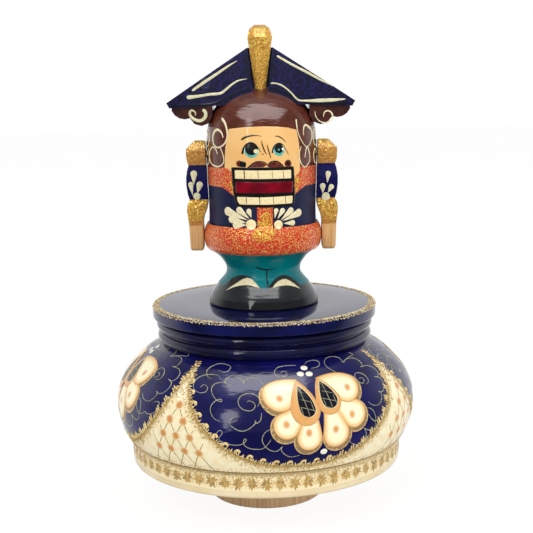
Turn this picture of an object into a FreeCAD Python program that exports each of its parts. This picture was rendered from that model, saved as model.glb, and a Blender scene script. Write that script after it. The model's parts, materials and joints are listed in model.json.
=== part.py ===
import FreeCAD, Part
import math
import os
from FreeCAD import Vector

# Wind-up music box with a nutcracker soldier on it.  The box is turned from wood and stands on a small
# foot disc.  Twisting the box on its foot winds the spring of the movement inside, and while the tune
# plays the spring turns the box back on its foot.
#
# Millimetres, +Z up.  The origin is the centre of the foot's underside, and the soldier faces -Y.

# Fits
glue_gap = 0.03            # radial gap of a glued or pressed joint
running_gap = 0.05         # radial gap of a pin that turns in its hole
shake = 0.4                # end play between neighbours on different shafts
root_depth = 0.2           # how deep a tooth or thread reaches into the body that carries it

# Foot, and what fastens it to the winding arbor
foot_radius = 23.0
foot_height = 11.0
foot_edge_chamfer = 0.9
flange_radius = 12.0
flange_thickness = 1.5
flange_boss_radius = 4.5
flange_boss_height = 3.0
flange_screw_circle = 8.6
flange_screw_count = 2
washer_radius = 7.0
washer_thickness = 0.75

# Turned box
rim_inset = 1.0            # how far the rim lies inside the bowl's seam
rim_height = 9.9
rim_edge_chamfer = 1.2
socket_wall = 4.4
spigot_height = 3.0
arbor_hole_radius = 3.2
bowl_radius = 60.0
bowl_seam_inset = 4.6
bowl_seam_chamfer = 0.5
bowl_lower_height = 14.6
bowl_upper_height = 24.4
bowl_neck_radius = 40.6
bowl_lower_runs = 4
bowl_upper_runs = 6
bowl_shoulder_rise = 13.0
neck_bore_radius = 35.5
bead_height = 4.3
bead_groove = 0.4
bead_groove_radius = 41.6
lower_bead_radius = 43.0
upper_bead_radius = 43.4
platform_radius = 44.9
platform_thickness = 5.0
platform_edge_chamfer = 0.6
platform_spigot_height = 4.0

# Soldier, turned from one piece; heights are above the platform
boot_radius = 21.0
boot_sole_radius = 22.0
boot_height = 8.2
boot_top_radius = 18.1
waist_radius = 14.8
waist_height = 13.6
waist_low_runs = 2
waist_flare_height = 18.8
waist_flare_radius = 17.2
waist_flare_runs = 4
belt_base_radius = 20.6
belt_base_height = 21.4
belt_radius = 23.3
belt_height = 11.0
belt_top_radius = 22.0
belt_runs = 4
torso_radius = 21.3
crown_base_height = 67.4
crown_height = 19.2
crown_runs = 5
figure_dowel_radius = 3.0
figure_dowel_length = 16.0

# Arms: carved sticks that swing on a shoulder dowel
shoulder_height = 59.6
arm_inner_x = 22.2
arm_hand_inner_x = 23.7
arm_width = 7.5
arm_notch = 0.9
arm_depth = 8.4
arm_above_shoulder = 5.2
arm_top_chamfer = 3.2
shoulder_neck_drop = 4.3
elbow_neck_drop = 18.0
cuff_neck_drop = 27.9
hand_drop = 38.4
hand_taper = 0.8
shoulder_dowel_radius = 1.5
shoulder_dowel_depth = 7.0
shoulder_dowel_reach = 5.0

# Two-pointed hat with hair scallops under its ends; heights are above the base of the head's dome
hat_half_width = 36.8
hat_lower_height = 10.2    # of the lower edge at the ends
hat_inner_height = 11.0    # of the lower edge beside the head
hat_end_height = 12.2
hat_peak_height = 32.8
hat_peak_half_width = 4.7
hat_half_depth = 11.5
hat_end_half_depth = 4.0
hat_dowel_radius = 2.0
hat_dowel_length = 14.0
groove_top_half_width = 5.3
groove_foot_half_width = 2.3
groove_depth = 4.6
scallop_inner_x = 18.7
scallop_middle_x = 27.6
scallop_outer_x = 34.8
scallop_inner_drop = 6.9
scallop_middle_drop = 3.9
scallop_outer_drop = 4.1
scallop_set_in = 1.1
scallop_runs = 4

# Plume: sections of a tapered stick, heights above the base of the head's dome
plume_foot_height = 15.2
plume_foot_half_width = 1.7
plume_shoulder_height = 36.6
plume_half_width = 4.7
plume_rounding = 0.82      # width of the section between shoulder and top, as a share of the widest
plume_top_height = 41.2
plume_top_half_width = 2.0
plume_flatness = 0.72

# Movement: bedplate, spring and great wheel
bedplate_thickness = 2.5
bedplate_left = 15.5
bedplate_back = 18.4
bedplate_front_margin = 1.2
bedplate_corner = 4.0
arbor_radius = 2.0
wheel_rim_thickness = 1.3
crown_module = 0.65
great_wheel_teeth = 36
crown_tooth_width = 1.5
crown_thinning = 0.10
great_wheel_lip = 0.15
housing_radius = 10.2
housing_wall = 0.6
housing_height = 9.0
housing_leg_half_width = 2.3
housing_leg_thickness = 1.0
housing_ear_drop = 6.0
spring_inner_radius = 3.2
spring_strip = 0.35
spring_turns = 3
spring_edge_gap = 0.6

# Movement: cylinder, comb and governor
pinion_teeth = 15
pinion_width = 1.0
pinion_thinning = 0.08
bearing_lug_thickness = 1.2
bearing_lug_half_width = 2.8
bearing_lug_margin = 2.2
shaft_radius = 1.0
cylinder_radius = 6.5
track_count = 18
track_pitch = 0.9
pin_height = 0.5
pin_radius = 0.22
pin_beats = 24
wheel_module = 0.4
cylinder_gear_teeth = 30
idler_pinion_teeth = 10
idler_wheel_teeth = 30
gear_width = 1.2
idler_wheel_width = 0.8
wheel_thinning = 0.06
idler_lug_thickness = 0.8
idler_shaft_radius = 0.85
idler_pivot_radius = 0.5
worm_radius = 1.6
worm_turns = 3
worm_shaft_radius = 0.8
fan_gap = 0.5
fan_height = 4.0
fan_radius = 4.7
fan_blade = 0.4
fan_hub_radius = 1.3
comb_thickness = 0.9
comb_clearance = 0.12
comb_slot = 0.22
comb_tooth_short = 8.5
comb_tooth_long = 12.0
comb_back = 5.4
comb_side = 1.2
frame_plate = 1.2
frame_foot = 5.2
frame_foot_thickness = 1.2
frame_left = 3.4
frame_margin = 2.0
top_tab_thickness = 1.2

# Screws: radius of the shank, radius and height of the head, length of the shank
flange_screw = (1.2, 2.1, 1.3, 8.0)
movement_screw = (1.1, 2.2, 1.5, 8.0)
small_screw = (0.7, 1.5, 1.0, 3.4)

# Tooth form shared by every wheel
pressure_angle = math.radians(20)
addendum = 0.9
dedendum = 1.2

# Radii and heights that follow from the sizes above
bowl_seam_radius = bowl_radius - bowl_seam_inset
rim_radius = bowl_seam_radius - rim_inset
spigot_radius = bowl_seam_radius - socket_wall
flange_top = foot_height + flange_thickness
boss_top = flange_top + flange_boss_height
washer_top = boss_top + washer_thickness
box_bottom = washer_top + running_gap
seam_height = box_bottom + rim_height
board_top = seam_height + spigot_height
equator_height = seam_height + bowl_lower_height
bore_shoulder_height = equator_height + bowl_shoulder_rise
neck_height = equator_height + bowl_upper_height
lower_bead_top = neck_height + bead_height
upper_bead_base = lower_bead_top + bead_groove
upper_bead_top = upper_bead_base + bead_height
platform_base = upper_bead_top + bead_groove
platform_top = platform_base + platform_thickness
shoulder_z = platform_top + shoulder_height
crown_base = platform_top + crown_base_height
crown_top = crown_base + crown_height

# Heights inside the movement
bedplate_top = board_top + bedplate_thickness
great_wheel_base = bedplate_top + shake
crown_root = great_wheel_base + wheel_rim_thickness
crown_pitch = crown_root + dedendum * crown_module
crown_tip = crown_pitch + addendum * crown_module
crown_radius = great_wheel_teeth * crown_module / 2
pinion_radius = pinion_teeth * crown_module / 2
axis_z = crown_pitch + pinion_radius
housing_base = crown_root + shake
housing_top = housing_base + housing_height
ear_top = housing_top - housing_ear_drop
ear_base = ear_top - housing_leg_thickness
great_wheel_radius = crown_radius + crown_tooth_width / 2 + great_wheel_lip
housing_leg_y = great_wheel_radius + shake

# Places along the cylinder's axis, outwards from the winding arbor
pinion_x = crown_radius - pinion_width / 2
lug_x = pinion_x + pinion_width + shake
cylinder_x = lug_x + bearing_lug_thickness + shake
cylinder_length = track_count * track_pitch
cylinder_end = cylinder_x + cylinder_length
idler_lug_x = cylinder_end + shake
gear_x = idler_lug_x + idler_lug_thickness + shake
idler_wheel_x = gear_x + gear_width + 2 * shake
plate_x = idler_wheel_x + idler_wheel_width + 2 * shake
plate_end = plate_x + frame_plate
bedplate_right = plate_end + frame_foot + shake

# Places across the cylinder's axis
cylinder_gear_radius = cylinder_gear_teeth * wheel_module / 2
idler_pinion_radius = idler_pinion_teeth * wheel_module / 2
idler_wheel_radius = idler_wheel_teeth * wheel_module / 2
idler_y = cylinder_gear_radius + idler_pinion_radius
worm_x = idler_wheel_x + idler_wheel_width / 2
worm_y = idler_y + idler_wheel_radius + worm_radius
worm_lead = math.pi * wheel_module
comb_tip_y = -(cylinder_radius + pin_height + comb_clearance)
comb_root_y = comb_tip_y - comb_tooth_long
comb_back_y = comb_root_y - comb_back
comb_bottom = axis_z - comb_thickness / 2
comb_top = axis_z + comb_thickness / 2
bedplate_front = comb_back_y - bedplate_front_margin

# Heights on the governor's shaft
thread_base = axis_z - worm_turns * worm_lead / 2
thread_top = axis_z + worm_turns * worm_lead / 2
fan_base = max(thread_top, axis_z + idler_wheel_radius + addendum * wheel_module) + fan_gap
fan_top = fan_base + fan_height
top_tab_base = fan_top + shake
top_tab_top = top_tab_base + top_tab_thickness


def point(r, z):
    return Vector(r, 0, z)


def curve(start, through, end, runs):
    """Points on the round stretch from start through a middle point to end, without the start."""
    arc = Part.Arc(point(*start), point(*through), point(*end))
    step = (arc.LastParameter - arc.FirstParameter) / runs
    places = [arc.value(arc.FirstParameter + step * k) for k in range(1, runs + 1)]
    return [(place.x, place.z) for place in places]


def turned(corners):
    """Turn a closed outline of (radius, height) corners about the Z axis."""
    face = polygon([point(r, z) for r, z in corners])
    return face.revolve(Vector(0, 0, 0), Vector(0, 0, 1), 360)


def cut_along_y(corners, front, back):
    """A prism of an (x, z) outline between two depths."""
    return polygon([Vector(x, front, z) for x, z in corners]).extrude(Vector(0, back - front, 0))


def faceted(sections):
    """A solid of flat faces through outlines that have the same number of corners."""
    faces = [polygon(sections[0]), polygon(sections[-1])]
    for low, high in zip(sections, sections[1:]):
        for k in range(len(low)):
            faces.append(polygon([low[k - 1], low[k], high[k], high[k - 1]]))
    return Part.Solid(Part.Shell(faces))


def polygon(points):
    return Part.Face(Part.makePolygon(points + points[:1]))


def box(x0, x1, y0, y1, z0, z1):
    return Part.makeBox(x1 - x0, y1 - y0, z1 - z0, Vector(x0, y0, z0))


def rod_z(radius, z0, z1, x=0.0, y=0.0):
    return Part.makeCylinder(radius, z1 - z0, Vector(x, y, z0), Vector(0, 0, 1))


def rod_x(radius, x0, x1, y=0.0, z=0.0):
    return Part.makeCylinder(radius, x1 - x0, Vector(x0, y, z), Vector(1, 0, 0))


def joined(first, others):
    return first.multiFuse(others).removeSplitter()


def bowl_surface(z):
    """Outer radius of the bowl at a height: an ellipse above its widest place and one below."""
    if z > equator_height:
        rise, edge = bowl_upper_height, bowl_neck_radius
    else:
        rise, edge = bowl_lower_height, bowl_seam_radius
    half = rise / math.sqrt(1 - (edge / bowl_radius) ** 2)
    return bowl_radius * math.sqrt(1 - ((z - equator_height) / half) ** 2)


# Screws


def screw(sizes, x, y, seat):
    """A round-headed screw with its head on the height seat."""
    shank, head, head_height, length = sizes
    return rod_z(head, seat, seat + head_height, x, y).fuse(rod_z(shank, seat - length, seat, x, y))


def screw_holes(sizes, places, seat):
    shank, head, head_height, length = sizes
    return [rod_z(shank + glue_gap, seat - length - shake, seat + shake, x, y) for x, y in places]


def flange_screw_places():
    turn = 2 * math.pi / flange_screw_count
    return [(flange_screw_circle * math.cos(k * turn), flange_screw_circle * math.sin(k * turn))
            for k in range(flange_screw_count)]


def movement_screw_places():
    left = bedplate_corner - bedplate_left
    back = bedplate_back - bedplate_corner
    head = movement_screw[1]
    right = cylinder_end + comb_side + head + shake
    return [(left, back), (left, -back), (right, bedplate_front + bedplate_corner + head)]


def comb_screw_places():
    y = comb_back_y + comb_back / 2
    return [(cylinder_x + cylinder_length * share, y) for share in (0.2, 0.8)]


def frame_screw_places():
    x = plate_end + frame_foot / 2
    return [(x, -frame_left / 2), (x, idler_y)]


# Foot and turntable


def make_foot_disc():
    disc = turned([
        (0, 0),
        (foot_radius - foot_edge_chamfer, 0),
        (foot_radius, foot_edge_chamfer),
        (foot_radius, foot_height),
        (0, foot_height)])
    return disc.cut(screw_holes(flange_screw, flange_screw_places(), flange_top))


def make_turntable_flange():
    plate = rod_z(flange_radius, foot_height, flange_top)
    boss = rod_z(flange_boss_radius, flange_top, boss_top)
    bore = rod_z(arbor_radius + glue_gap, foot_height, boss_top)
    holes = screw_holes(flange_screw, flange_screw_places(), flange_top)
    return joined(plate, [boss]).cut([bore] + holes)


def make_flange_screws():
    return Part.makeCompound([screw(flange_screw, x, y, flange_top) for x, y in flange_screw_places()])


def make_thrust_washer():
    ring = rod_z(washer_radius, boss_top, washer_top)
    return ring.cut(rod_z(arbor_radius + running_gap, boss_top, washer_top))


# Turned box


def make_base_cap():
    cap = turned([
        (arbor_hole_radius, box_bottom),
        (rim_radius - rim_edge_chamfer, box_bottom),
        (rim_radius, box_bottom + rim_edge_chamfer),
        (rim_radius, seam_height - bowl_seam_chamfer),
        (rim_radius - bowl_seam_chamfer, seam_height),
        (spigot_radius, seam_height),
        (spigot_radius, board_top),
        (arbor_hole_radius, board_top)])
    return cap.cut(screw_holes(movement_screw, movement_screw_places(), bedplate_top))


def bead(base, radius):
    """The round outline of a turned bead that stands on the height base."""
    return [(bead_groove_radius, base),
            *curve((bead_groove_radius, base), (radius, base + bead_height / 2),
                   (bead_groove_radius, base + bead_height), 3)]


def make_bowl():
    """Shell bored in two steps: wide for the movement, narrower under the platform."""
    socket = spigot_radius + glue_gap
    flank = [seam_height + bowl_seam_chamfer]
    flank += [seam_height + bowl_lower_height * k / bowl_lower_runs for k in range(1, bowl_lower_runs + 1)]
    flank += [equator_height + bowl_upper_height * k / bowl_upper_runs for k in range(1, bowl_upper_runs + 1)]
    return turned([
        (socket, seam_height),
        (bowl_seam_radius - 2 * bowl_seam_chamfer, seam_height),
        *[(bowl_surface(z), z) for z in flank],
        *bead(neck_height, lower_bead_radius),
        *bead(upper_bead_base, upper_bead_radius),
        (bead_groove_radius, platform_base),
        (neck_bore_radius, platform_base),
        (neck_bore_radius, bore_shoulder_height),
        (socket, bore_shoulder_height)])


def make_platform():
    disc = turned([
        (0, platform_base),
        (platform_radius, platform_base),
        (platform_radius, platform_top - platform_edge_chamfer),
        (platform_radius - platform_edge_chamfer, platform_top),
        (0, platform_top)])
    spigot = rod_z(neck_bore_radius - glue_gap, platform_base - platform_spigot_height, platform_base)
    return joined(disc, [spigot]).cut(figure_dowel_shape(glue_gap))


# Soldier


def figure_dowel_shape(gap):
    half = figure_dowel_length / 2 + gap
    return rod_z(figure_dowel_radius + gap, platform_top - half, platform_top + half)


def hat_dowel_shape(gap):
    half = hat_dowel_length / 2 + gap
    return rod_z(hat_dowel_radius + gap, crown_top - half, crown_top + half)


def shoulder_dowel_shape(side, gap, end_gap):
    inner = torso_radius - shoulder_dowel_depth - end_gap
    outer = arm_inner_x + shoulder_dowel_reach + end_gap
    rod = rod_x(shoulder_dowel_radius + gap, inner, outer, 0, shoulder_z)
    return rod if side > 0 else rod.mirror(Vector(0, 0, 0), Vector(1, 0, 0))


def soldier_turning(gap):
    """Head, torso, trousers and boots; a gap makes the form that the hat is hollowed with."""
    base = platform_top
    boot_top = base + boot_height
    belt_base = base + belt_base_height
    belt_top = belt_base + belt_height
    waist = (waist_radius, base + waist_height)
    knee = ((boot_top_radius + 2 * waist_radius) / 3, (boot_top + waist[1]) / 2)
    crown = [(math.cos(math.pi / 2 * k / crown_runs), math.sin(math.pi / 2 * k / crown_runs))
             for k in range(crown_runs)]
    return turned([
        (0, base),
        (boot_sole_radius, base),
        *curve((boot_sole_radius, base), (boot_radius, base + boot_height / 2), (boot_top_radius, boot_top), 2),
        *curve((boot_top_radius, boot_top), knee, waist, waist_low_runs),
        *curve(waist, (waist_flare_radius, base + waist_flare_height), (belt_base_radius, belt_base),
               waist_flare_runs),
        *curve((belt_base_radius, belt_base), (belt_radius, belt_base + belt_height / 2),
               (belt_top_radius, belt_top), belt_runs),
        (torso_radius + gap, belt_top),
        *[((torso_radius + gap) * across, crown_base + (crown_height + gap) * up) for across, up in crown],
        (0, crown_top + gap)])


def make_figure_body():
    return soldier_turning(0).cut([
        figure_dowel_shape(glue_gap),
        hat_dowel_shape(glue_gap),
        shoulder_dowel_shape(1, glue_gap, glue_gap),
        shoulder_dowel_shape(-1, glue_gap, glue_gap)])


def make_shoulder_dowels():
    return Part.makeCompound([shoulder_dowel_shape(side, 0, 0) for side in (1, -1)])


def arm_shape():
    """The left arm: what its front outline and its side outline have in common."""
    top = shoulder_z + arm_above_shoulder
    necks = [shoulder_z - drop for drop in (shoulder_neck_drop, elbow_neck_drop, cuff_neck_drop)]
    hand_end = shoulder_z - hand_drop
    outer = arm_inner_x + arm_width
    notched = outer - arm_notch
    relief = (necks[1] + necks[2]) / 2
    front = [(arm_inner_x, top), (outer - arm_top_chamfer, top), (outer, top - arm_top_chamfer)]
    side = [(arm_depth / 2 - arm_top_chamfer / 2, top), (arm_depth / 2, top - arm_top_chamfer)]
    above = top - arm_top_chamfer
    for neck in necks:
        step = min(arm_notch * 2, (above - neck) / 3)
        front += [(outer, neck + step), (notched, neck)]
        side += [(arm_depth / 2, neck + step), (arm_depth / 2 - arm_notch / 2, neck)]
        if neck != necks[-1]:
            front.append((outer, neck - step))
            side.append((arm_depth / 2, neck - step))
        above = neck - step
    front += [(notched - hand_taper / 2, hand_end), (arm_hand_inner_x, hand_end),
              (arm_hand_inner_x, relief - arm_notch), (arm_inner_x, relief + arm_notch)]
    side.append((arm_depth / 2 - arm_notch / 2 - hand_taper / 2, hand_end))
    side_loop = side + [(-y, z) for y, z in reversed(side)]
    side_face = polygon([Vector(0, y, z) for y, z in side_loop])
    return cut_along_y(front, -arm_depth, arm_depth).common(side_face.extrude(Vector(2 * outer, 0, 0)))


def make_left_arm():
    return arm_shape().cut(shoulder_dowel_shape(1, running_gap, running_gap))


def make_right_arm():
    return make_left_arm().mirror(Vector(0, 0, 0), Vector(1, 0, 0))


def scallop_outline():
    """Hair curl under one end of the hat: a deep lobe inside and a shallow one outside."""
    lower = crown_base + hat_lower_height
    top = crown_base + hat_inner_height + scallop_set_in
    middle = (scallop_middle_x, lower - scallop_middle_drop)
    inner = (scallop_inner_x, lower - scallop_inner_drop / 2)
    outer = (scallop_outer_x, lower - scallop_set_in)
    inner_mid = ((scallop_inner_x + scallop_middle_x) / 2, lower - scallop_inner_drop)
    outer_mid = ((scallop_middle_x + scallop_outer_x) / 2, lower - scallop_outer_drop)
    return [
        (scallop_inner_x, top),
        inner,
        *curve(inner, inner_mid, middle, scallop_runs),
        *curve(middle, outer_mid, outer, scallop_runs),
        (scallop_outer_x, top)]


def hat_plan(half_width, half_depth, end_half_depth, z0, z1):
    """The hat seen from above: two arcs that come near each other at the ends."""
    corners = [Vector(-half_width, -end_half_depth, z0), Vector(half_width, -end_half_depth, z0),
               Vector(half_width, end_half_depth, z0), Vector(-half_width, end_half_depth, z0)]
    edges = [Part.Arc(corners[0], Vector(0, -half_depth, z0), corners[1]).toShape(),
             Part.LineSegment(corners[1], corners[2]).toShape(),
             Part.Arc(corners[2], Vector(0, half_depth, z0), corners[3]).toShape(),
             Part.LineSegment(corners[3], corners[0]).toShape()]
    return Part.Face(Part.Wire(edges)).extrude(Vector(0, 0, z1 - z0))


def make_hat():
    end_z = crown_base + hat_end_height
    lower_z = crown_base + hat_lower_height
    inner_z = crown_base + hat_inner_height
    peak_z = crown_base + hat_peak_height
    half = [(hat_peak_half_width, peak_z), (hat_half_width, end_z), (hat_half_width - scallop_set_in, lower_z),
            (scallop_inner_x, inner_z)]
    loop = half + [(-x, z) for x, z in reversed(half)]
    board = cut_along_y(loop, -2 * hat_half_depth, 2 * hat_half_depth)
    board = board.common(hat_plan(hat_half_width, hat_half_depth, hat_end_half_depth, lower_z, peak_z))
    scallop = cut_along_y(scallop_outline(), -2 * hat_half_depth, 2 * hat_half_depth)
    curls = [scallop, scallop.mirror(Vector(0, 0, 0), Vector(1, 0, 0))]
    low = lower_z - scallop_inner_drop
    inset = hat_plan(hat_half_width, hat_half_depth - scallop_set_in,
                     hat_end_half_depth - scallop_set_in, low, inner_z + scallop_set_in)
    curls = [curl.common(inset) for curl in curls]
    return joined(board, curls).cut([soldier_turning(glue_gap), plume_groove(), hat_dowel_shape(glue_gap)])


def plume_groove():
    """A wedge-shaped channel down the front of the hat."""
    foot_z = crown_base + hat_lower_height
    top_z = crown_base + hat_peak_height + groove_depth
    loop = [(-groove_foot_half_width, foot_z), (groove_foot_half_width, foot_z),
            (groove_top_half_width, top_z), (-groove_top_half_width, top_z)]
    return cut_along_y(loop, -2 * hat_half_depth, groove_depth - hat_half_depth)


def plume_section(half_width, z, middle_y):
    """An eight-sided section of the plume."""
    depth = half_width * plume_flatness
    corner = 0.5
    loop = [(1, -corner), (1, corner), (corner, 1), (-corner, 1),
            (-1, corner), (-1, -corner), (-corner, -1), (corner, -1)]
    return [Vector(half_width * u, middle_y + depth * v, z) for u, v in loop]


def make_plume():
    back = -(hat_half_depth - groove_depth) - glue_gap
    sections = [(plume_foot_half_width, plume_foot_height), (plume_half_width, plume_shoulder_height),
                (plume_half_width * plume_rounding, (plume_shoulder_height + 2 * plume_top_height) / 3),
                (plume_top_half_width, plume_top_height)]
    stick = faceted([plume_section(half_width, crown_base + height, back - half_width * plume_flatness)
                     for half_width, height in sections])
    return stick.cut(soldier_turning(glue_gap))


# Movement


def tooth_angle(teeth, module, thinning, radius):
    """Half the angle that one tooth spans at a radius, for an involute tooth."""
    pitch = teeth * module / 2
    base = pitch * math.cos(pressure_angle)
    here = math.acos(min(1.0, base / max(radius, base)))
    spread = math.tan(pressure_angle) - pressure_angle - (math.tan(here) - here)
    return math.pi / (2 * teeth) - thinning / pitch + spread


def spur_gear(teeth, module, thinning, x0, width, y, z, tooth_at):
    """A spur gear with its axis along X and one tooth centred on the angle tooth_at from +Y."""
    pitch = teeth * module / 2
    radii = (pitch - dedendum * module, pitch + addendum * module)
    flank = [(radius, tooth_angle(teeth, module, thinning, radius)) for radius in radii]
    tooth = [(radius, -half) for radius, half in flank] + [(radius, half) for radius, half in reversed(flank)]
    points = []
    for k in range(teeth):
        centre = tooth_at + 2 * math.pi * k / teeth
        points += [Vector(x0, y + radius * math.cos(centre + turn), z + radius * math.sin(centre + turn))
                   for radius, turn in tooth]
    return polygon(points).extrude(Vector(width, 0, 0))


def make_winding_arbor():
    return rod_z(arbor_radius, foot_height, housing_top)


def crown_tooth(inner, centre):
    """A straight-sided tooth that stands on the crown wheel's rim."""
    outward = Vector(math.cos(centre), math.sin(centre), 0)
    across = Vector(-math.sin(centre), math.cos(centre), 0)
    section = []
    for z, side in ((crown_root - root_depth, -1), (crown_tip, -1), (crown_tip, 1), (crown_root - root_depth, 1)):
        half = math.pi * crown_module / 4 - crown_thinning - (z - crown_pitch) * math.tan(pressure_angle)
        section.append(outward * inner + across * (side * half) + Vector(0, 0, z))
    return polygon(section).extrude(outward * crown_tooth_width)


def make_great_wheel():
    """Crown wheel: its teeth stand up from the rim, and the gap at +X takes the cylinder's pinion."""
    inner = crown_radius - crown_tooth_width / 2
    disc = rod_z(great_wheel_radius, great_wheel_base, crown_root)
    step = 2 * math.pi / great_wheel_teeth
    teeth = [crown_tooth(inner, (k + 0.5) * step) for k in range(great_wheel_teeth)]
    return joined(disc, teeth).cut(rod_z(arbor_radius + glue_gap, great_wheel_base, crown_root))


def make_bedplate():
    """Cast frame: a plate with slots for the spring housing's legs, a comb rest and two bearing lugs."""
    left, right = -bedplate_left, bedplate_right
    front, back, corner = bedplate_front, bedplate_back, bedplate_corner
    waist = -(housing_leg_y + bedplate_corner)
    comb_left = cylinder_x - comb_side
    outline_points = [
        (left, waist + corner), (left + corner, waist), (comb_left - corner, waist),
        (comb_left - corner, front + corner), (comb_left, front), (plate_x - corner / 2, front),
        (plate_x + corner / 2, front + corner), (right, -(frame_left + corner)),
        (right, idler_y + corner), (worm_x + corner, back), (left + corner, back), (left, back - corner)]
    plate = polygon([Vector(x, y, board_top) for x, y in outline_points])
    plate = plate.extrude(Vector(0, 0, bedplate_thickness))
    comb_rest = box(comb_left, cylinder_end + comb_side, comb_back_y, comb_root_y - shake,
                    bedplate_top, comb_bottom)
    lug = box(lug_x, lug_x + bearing_lug_thickness, -bearing_lug_half_width, bearing_lug_half_width,
              bedplate_top, axis_z + bearing_lug_margin)
    idler_lug = box(idler_lug_x, idler_lug_x + idler_lug_thickness, idler_y - idler_pivot_radius * 3,
                    idler_y + idler_pivot_radius * 3, bedplate_top, axis_z + idler_pivot_radius * 3)
    holes = [rod_z(arbor_radius + running_gap, board_top, bedplate_top),
             rod_x(shaft_radius + running_gap, lug_x, lug_x + bearing_lug_thickness, 0, axis_z),
             rod_x(idler_pivot_radius + running_gap, idler_lug_x, idler_lug_x + idler_lug_thickness,
                   idler_y, axis_z),
             rod_z(worm_shaft_radius + running_gap, bedplate_top - bedplate_thickness / 2, bedplate_top,
                   worm_x, worm_y)]
    holes += screw_holes(movement_screw, movement_screw_places(), bedplate_top)
    holes += screw_holes(small_screw, comb_screw_places(), comb_top)
    holes += frame_screw_holes() + [housing_leg(side, glue_gap) for side in (1, -1)]
    return joined(plate, [comb_rest, lug, idler_lug]).cut(holes)


def frame_screw_holes():
    seat = bedplate_top + frame_foot_thickness
    return screw_holes(small_screw, frame_screw_places(), seat)


def make_movement_screws():
    return Part.makeCompound([screw(movement_screw, x, y, bedplate_top) for x, y in movement_screw_places()])


def housing_leg(side, gap):
    """Bent leg of the spring housing, pressed into a slot of the bedplate."""
    y0, y1 = sorted((side * (housing_leg_y - gap), side * (housing_leg_y + housing_leg_thickness + gap)))
    reach = housing_leg_half_width + gap
    return box(-reach, reach, y0, y1, bedplate_top - bedplate_thickness / 2 - gap, ear_top)


def make_spring_housing():
    """Can over the spring, held by two bent legs."""
    can = rod_z(housing_radius, housing_base, housing_top)
    hollow = rod_z(housing_radius - housing_wall, housing_base, housing_top - housing_wall)
    legs = []
    for side in (1, -1):
        y0, y1 = sorted((side * (housing_radius - housing_wall / 2), side * housing_leg_y))
        legs.append(box(-housing_leg_half_width, housing_leg_half_width, y0, y1, ear_base, ear_top))
        legs.append(housing_leg(side, 0))
    pivot = rod_z(arbor_radius + running_gap, housing_top - housing_wall, housing_top)
    return joined(can, legs).cut([hollow, pivot])


def make_mainspring():
    """Coiled strip: half turns whose radius grows by half the pitch from one to the next."""
    outer_radius = housing_radius - housing_wall - spring_strip
    growth = (outer_radius - spring_inner_radius) / (2 * spring_turns)
    base = housing_base + spring_edge_gap
    height = housing_height - housing_wall - 2 * spring_edge_gap

    def half_turns(offset):
        edges = []
        for k in range(2 * spring_turns):
            radius = spring_inner_radius + k * growth + offset
            centre = Vector(growth if k % 2 else 0, 0, base)
            side = -1 if k % 2 else 1
            edges.append(Part.Arc(centre + Vector(side * radius, 0, 0), centre + Vector(0, side * radius, 0),
                                  centre + Vector(-side * radius, 0, 0)).toShape())
        return edges

    inner = half_turns(-spring_strip / 2)
    outer = half_turns(spring_strip / 2)
    first = Part.LineSegment(inner[0].valueAt(inner[0].FirstParameter),
                             outer[0].valueAt(outer[0].FirstParameter)).toShape()
    last = Part.LineSegment(outer[-1].valueAt(outer[-1].LastParameter),
                            inner[-1].valueAt(inner[-1].LastParameter)).toShape()
    loop = Part.Wire(outer + [last] + list(reversed(inner)) + [first])
    return Part.Face(loop).extrude(Vector(0, 0, height))


def make_cylinder_shaft():
    return rod_x(shaft_radius, pinion_x, plate_end, 0, axis_z)


def shaft_bore(x0, x1):
    return rod_x(shaft_radius + glue_gap, x0, x1, 0, axis_z)


def make_cylinder_pinion():
    gear = spur_gear(pinion_teeth, crown_module, pinion_thinning, pinion_x, pinion_width, 0, axis_z,
                     -math.pi / 2)
    return gear.cut(shaft_bore(pinion_x, pinion_x + pinion_width))


def has_pin(track, beat):
    """A rising and falling run of notes: which beats of the tune pluck a track's tooth."""
    return (3 * track + 7 * beat + (track * beat) % 5) % 10 == 0


def make_pinned_cylinder():
    """Tune cylinder: one ring of pins for each comb tooth."""
    drum = rod_x(cylinder_radius, cylinder_x, cylinder_end, 0, axis_z)
    tip = cylinder_radius + pin_height
    pins = []
    for track in range(track_count):
        x = cylinder_x + (track + 0.5) * track_pitch
        for beat in range(pin_beats):
            if has_pin(track, beat):
                turn = 2 * math.pi * beat / pin_beats
                pin = box(x - pin_radius, x + pin_radius, -pin_radius, pin_radius,
                          cylinder_radius - pin_height, tip)
                pin.rotate(Vector(0, 0, 0), Vector(1, 0, 0), math.degrees(turn))
                pin.translate(Vector(0, 0, axis_z))
                pins.append(pin)
    return drum.multiFuse(pins).cut(shaft_bore(cylinder_x, cylinder_end))


def make_cylinder_gear():
    gear = spur_gear(cylinder_gear_teeth, wheel_module, wheel_thinning, gear_x, gear_width, 0, axis_z, 0)
    return gear.cut(shaft_bore(gear_x, gear_x + gear_width))


def make_idler_pinion():
    """Pinion cut on the idler's shaft, with a gap towards the cylinder."""
    gear = spur_gear(idler_pinion_teeth, wheel_module, wheel_thinning, gear_x - shake / 2,
                     gear_width + shake, idler_y, axis_z, math.pi + math.pi / idler_pinion_teeth)
    shaft = rod_x(idler_shaft_radius, gear_x, plate_x - shake / 2, idler_y, axis_z)
    pivots = rod_x(idler_pivot_radius, idler_lug_x, plate_end, idler_y, axis_z)
    return joined(gear, [shaft, pivots])


def make_idler_wheel():
    """Wheel that turns the worm, with a tooth towards it."""
    gear = spur_gear(idler_wheel_teeth, wheel_module, wheel_thinning, idler_wheel_x, idler_wheel_width,
                     idler_y, axis_z, 0)
    bore = rod_x(idler_shaft_radius + glue_gap, idler_wheel_x, idler_wheel_x + idler_wheel_width,
                 idler_y, axis_z)
    return gear.cut(bore)


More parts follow.
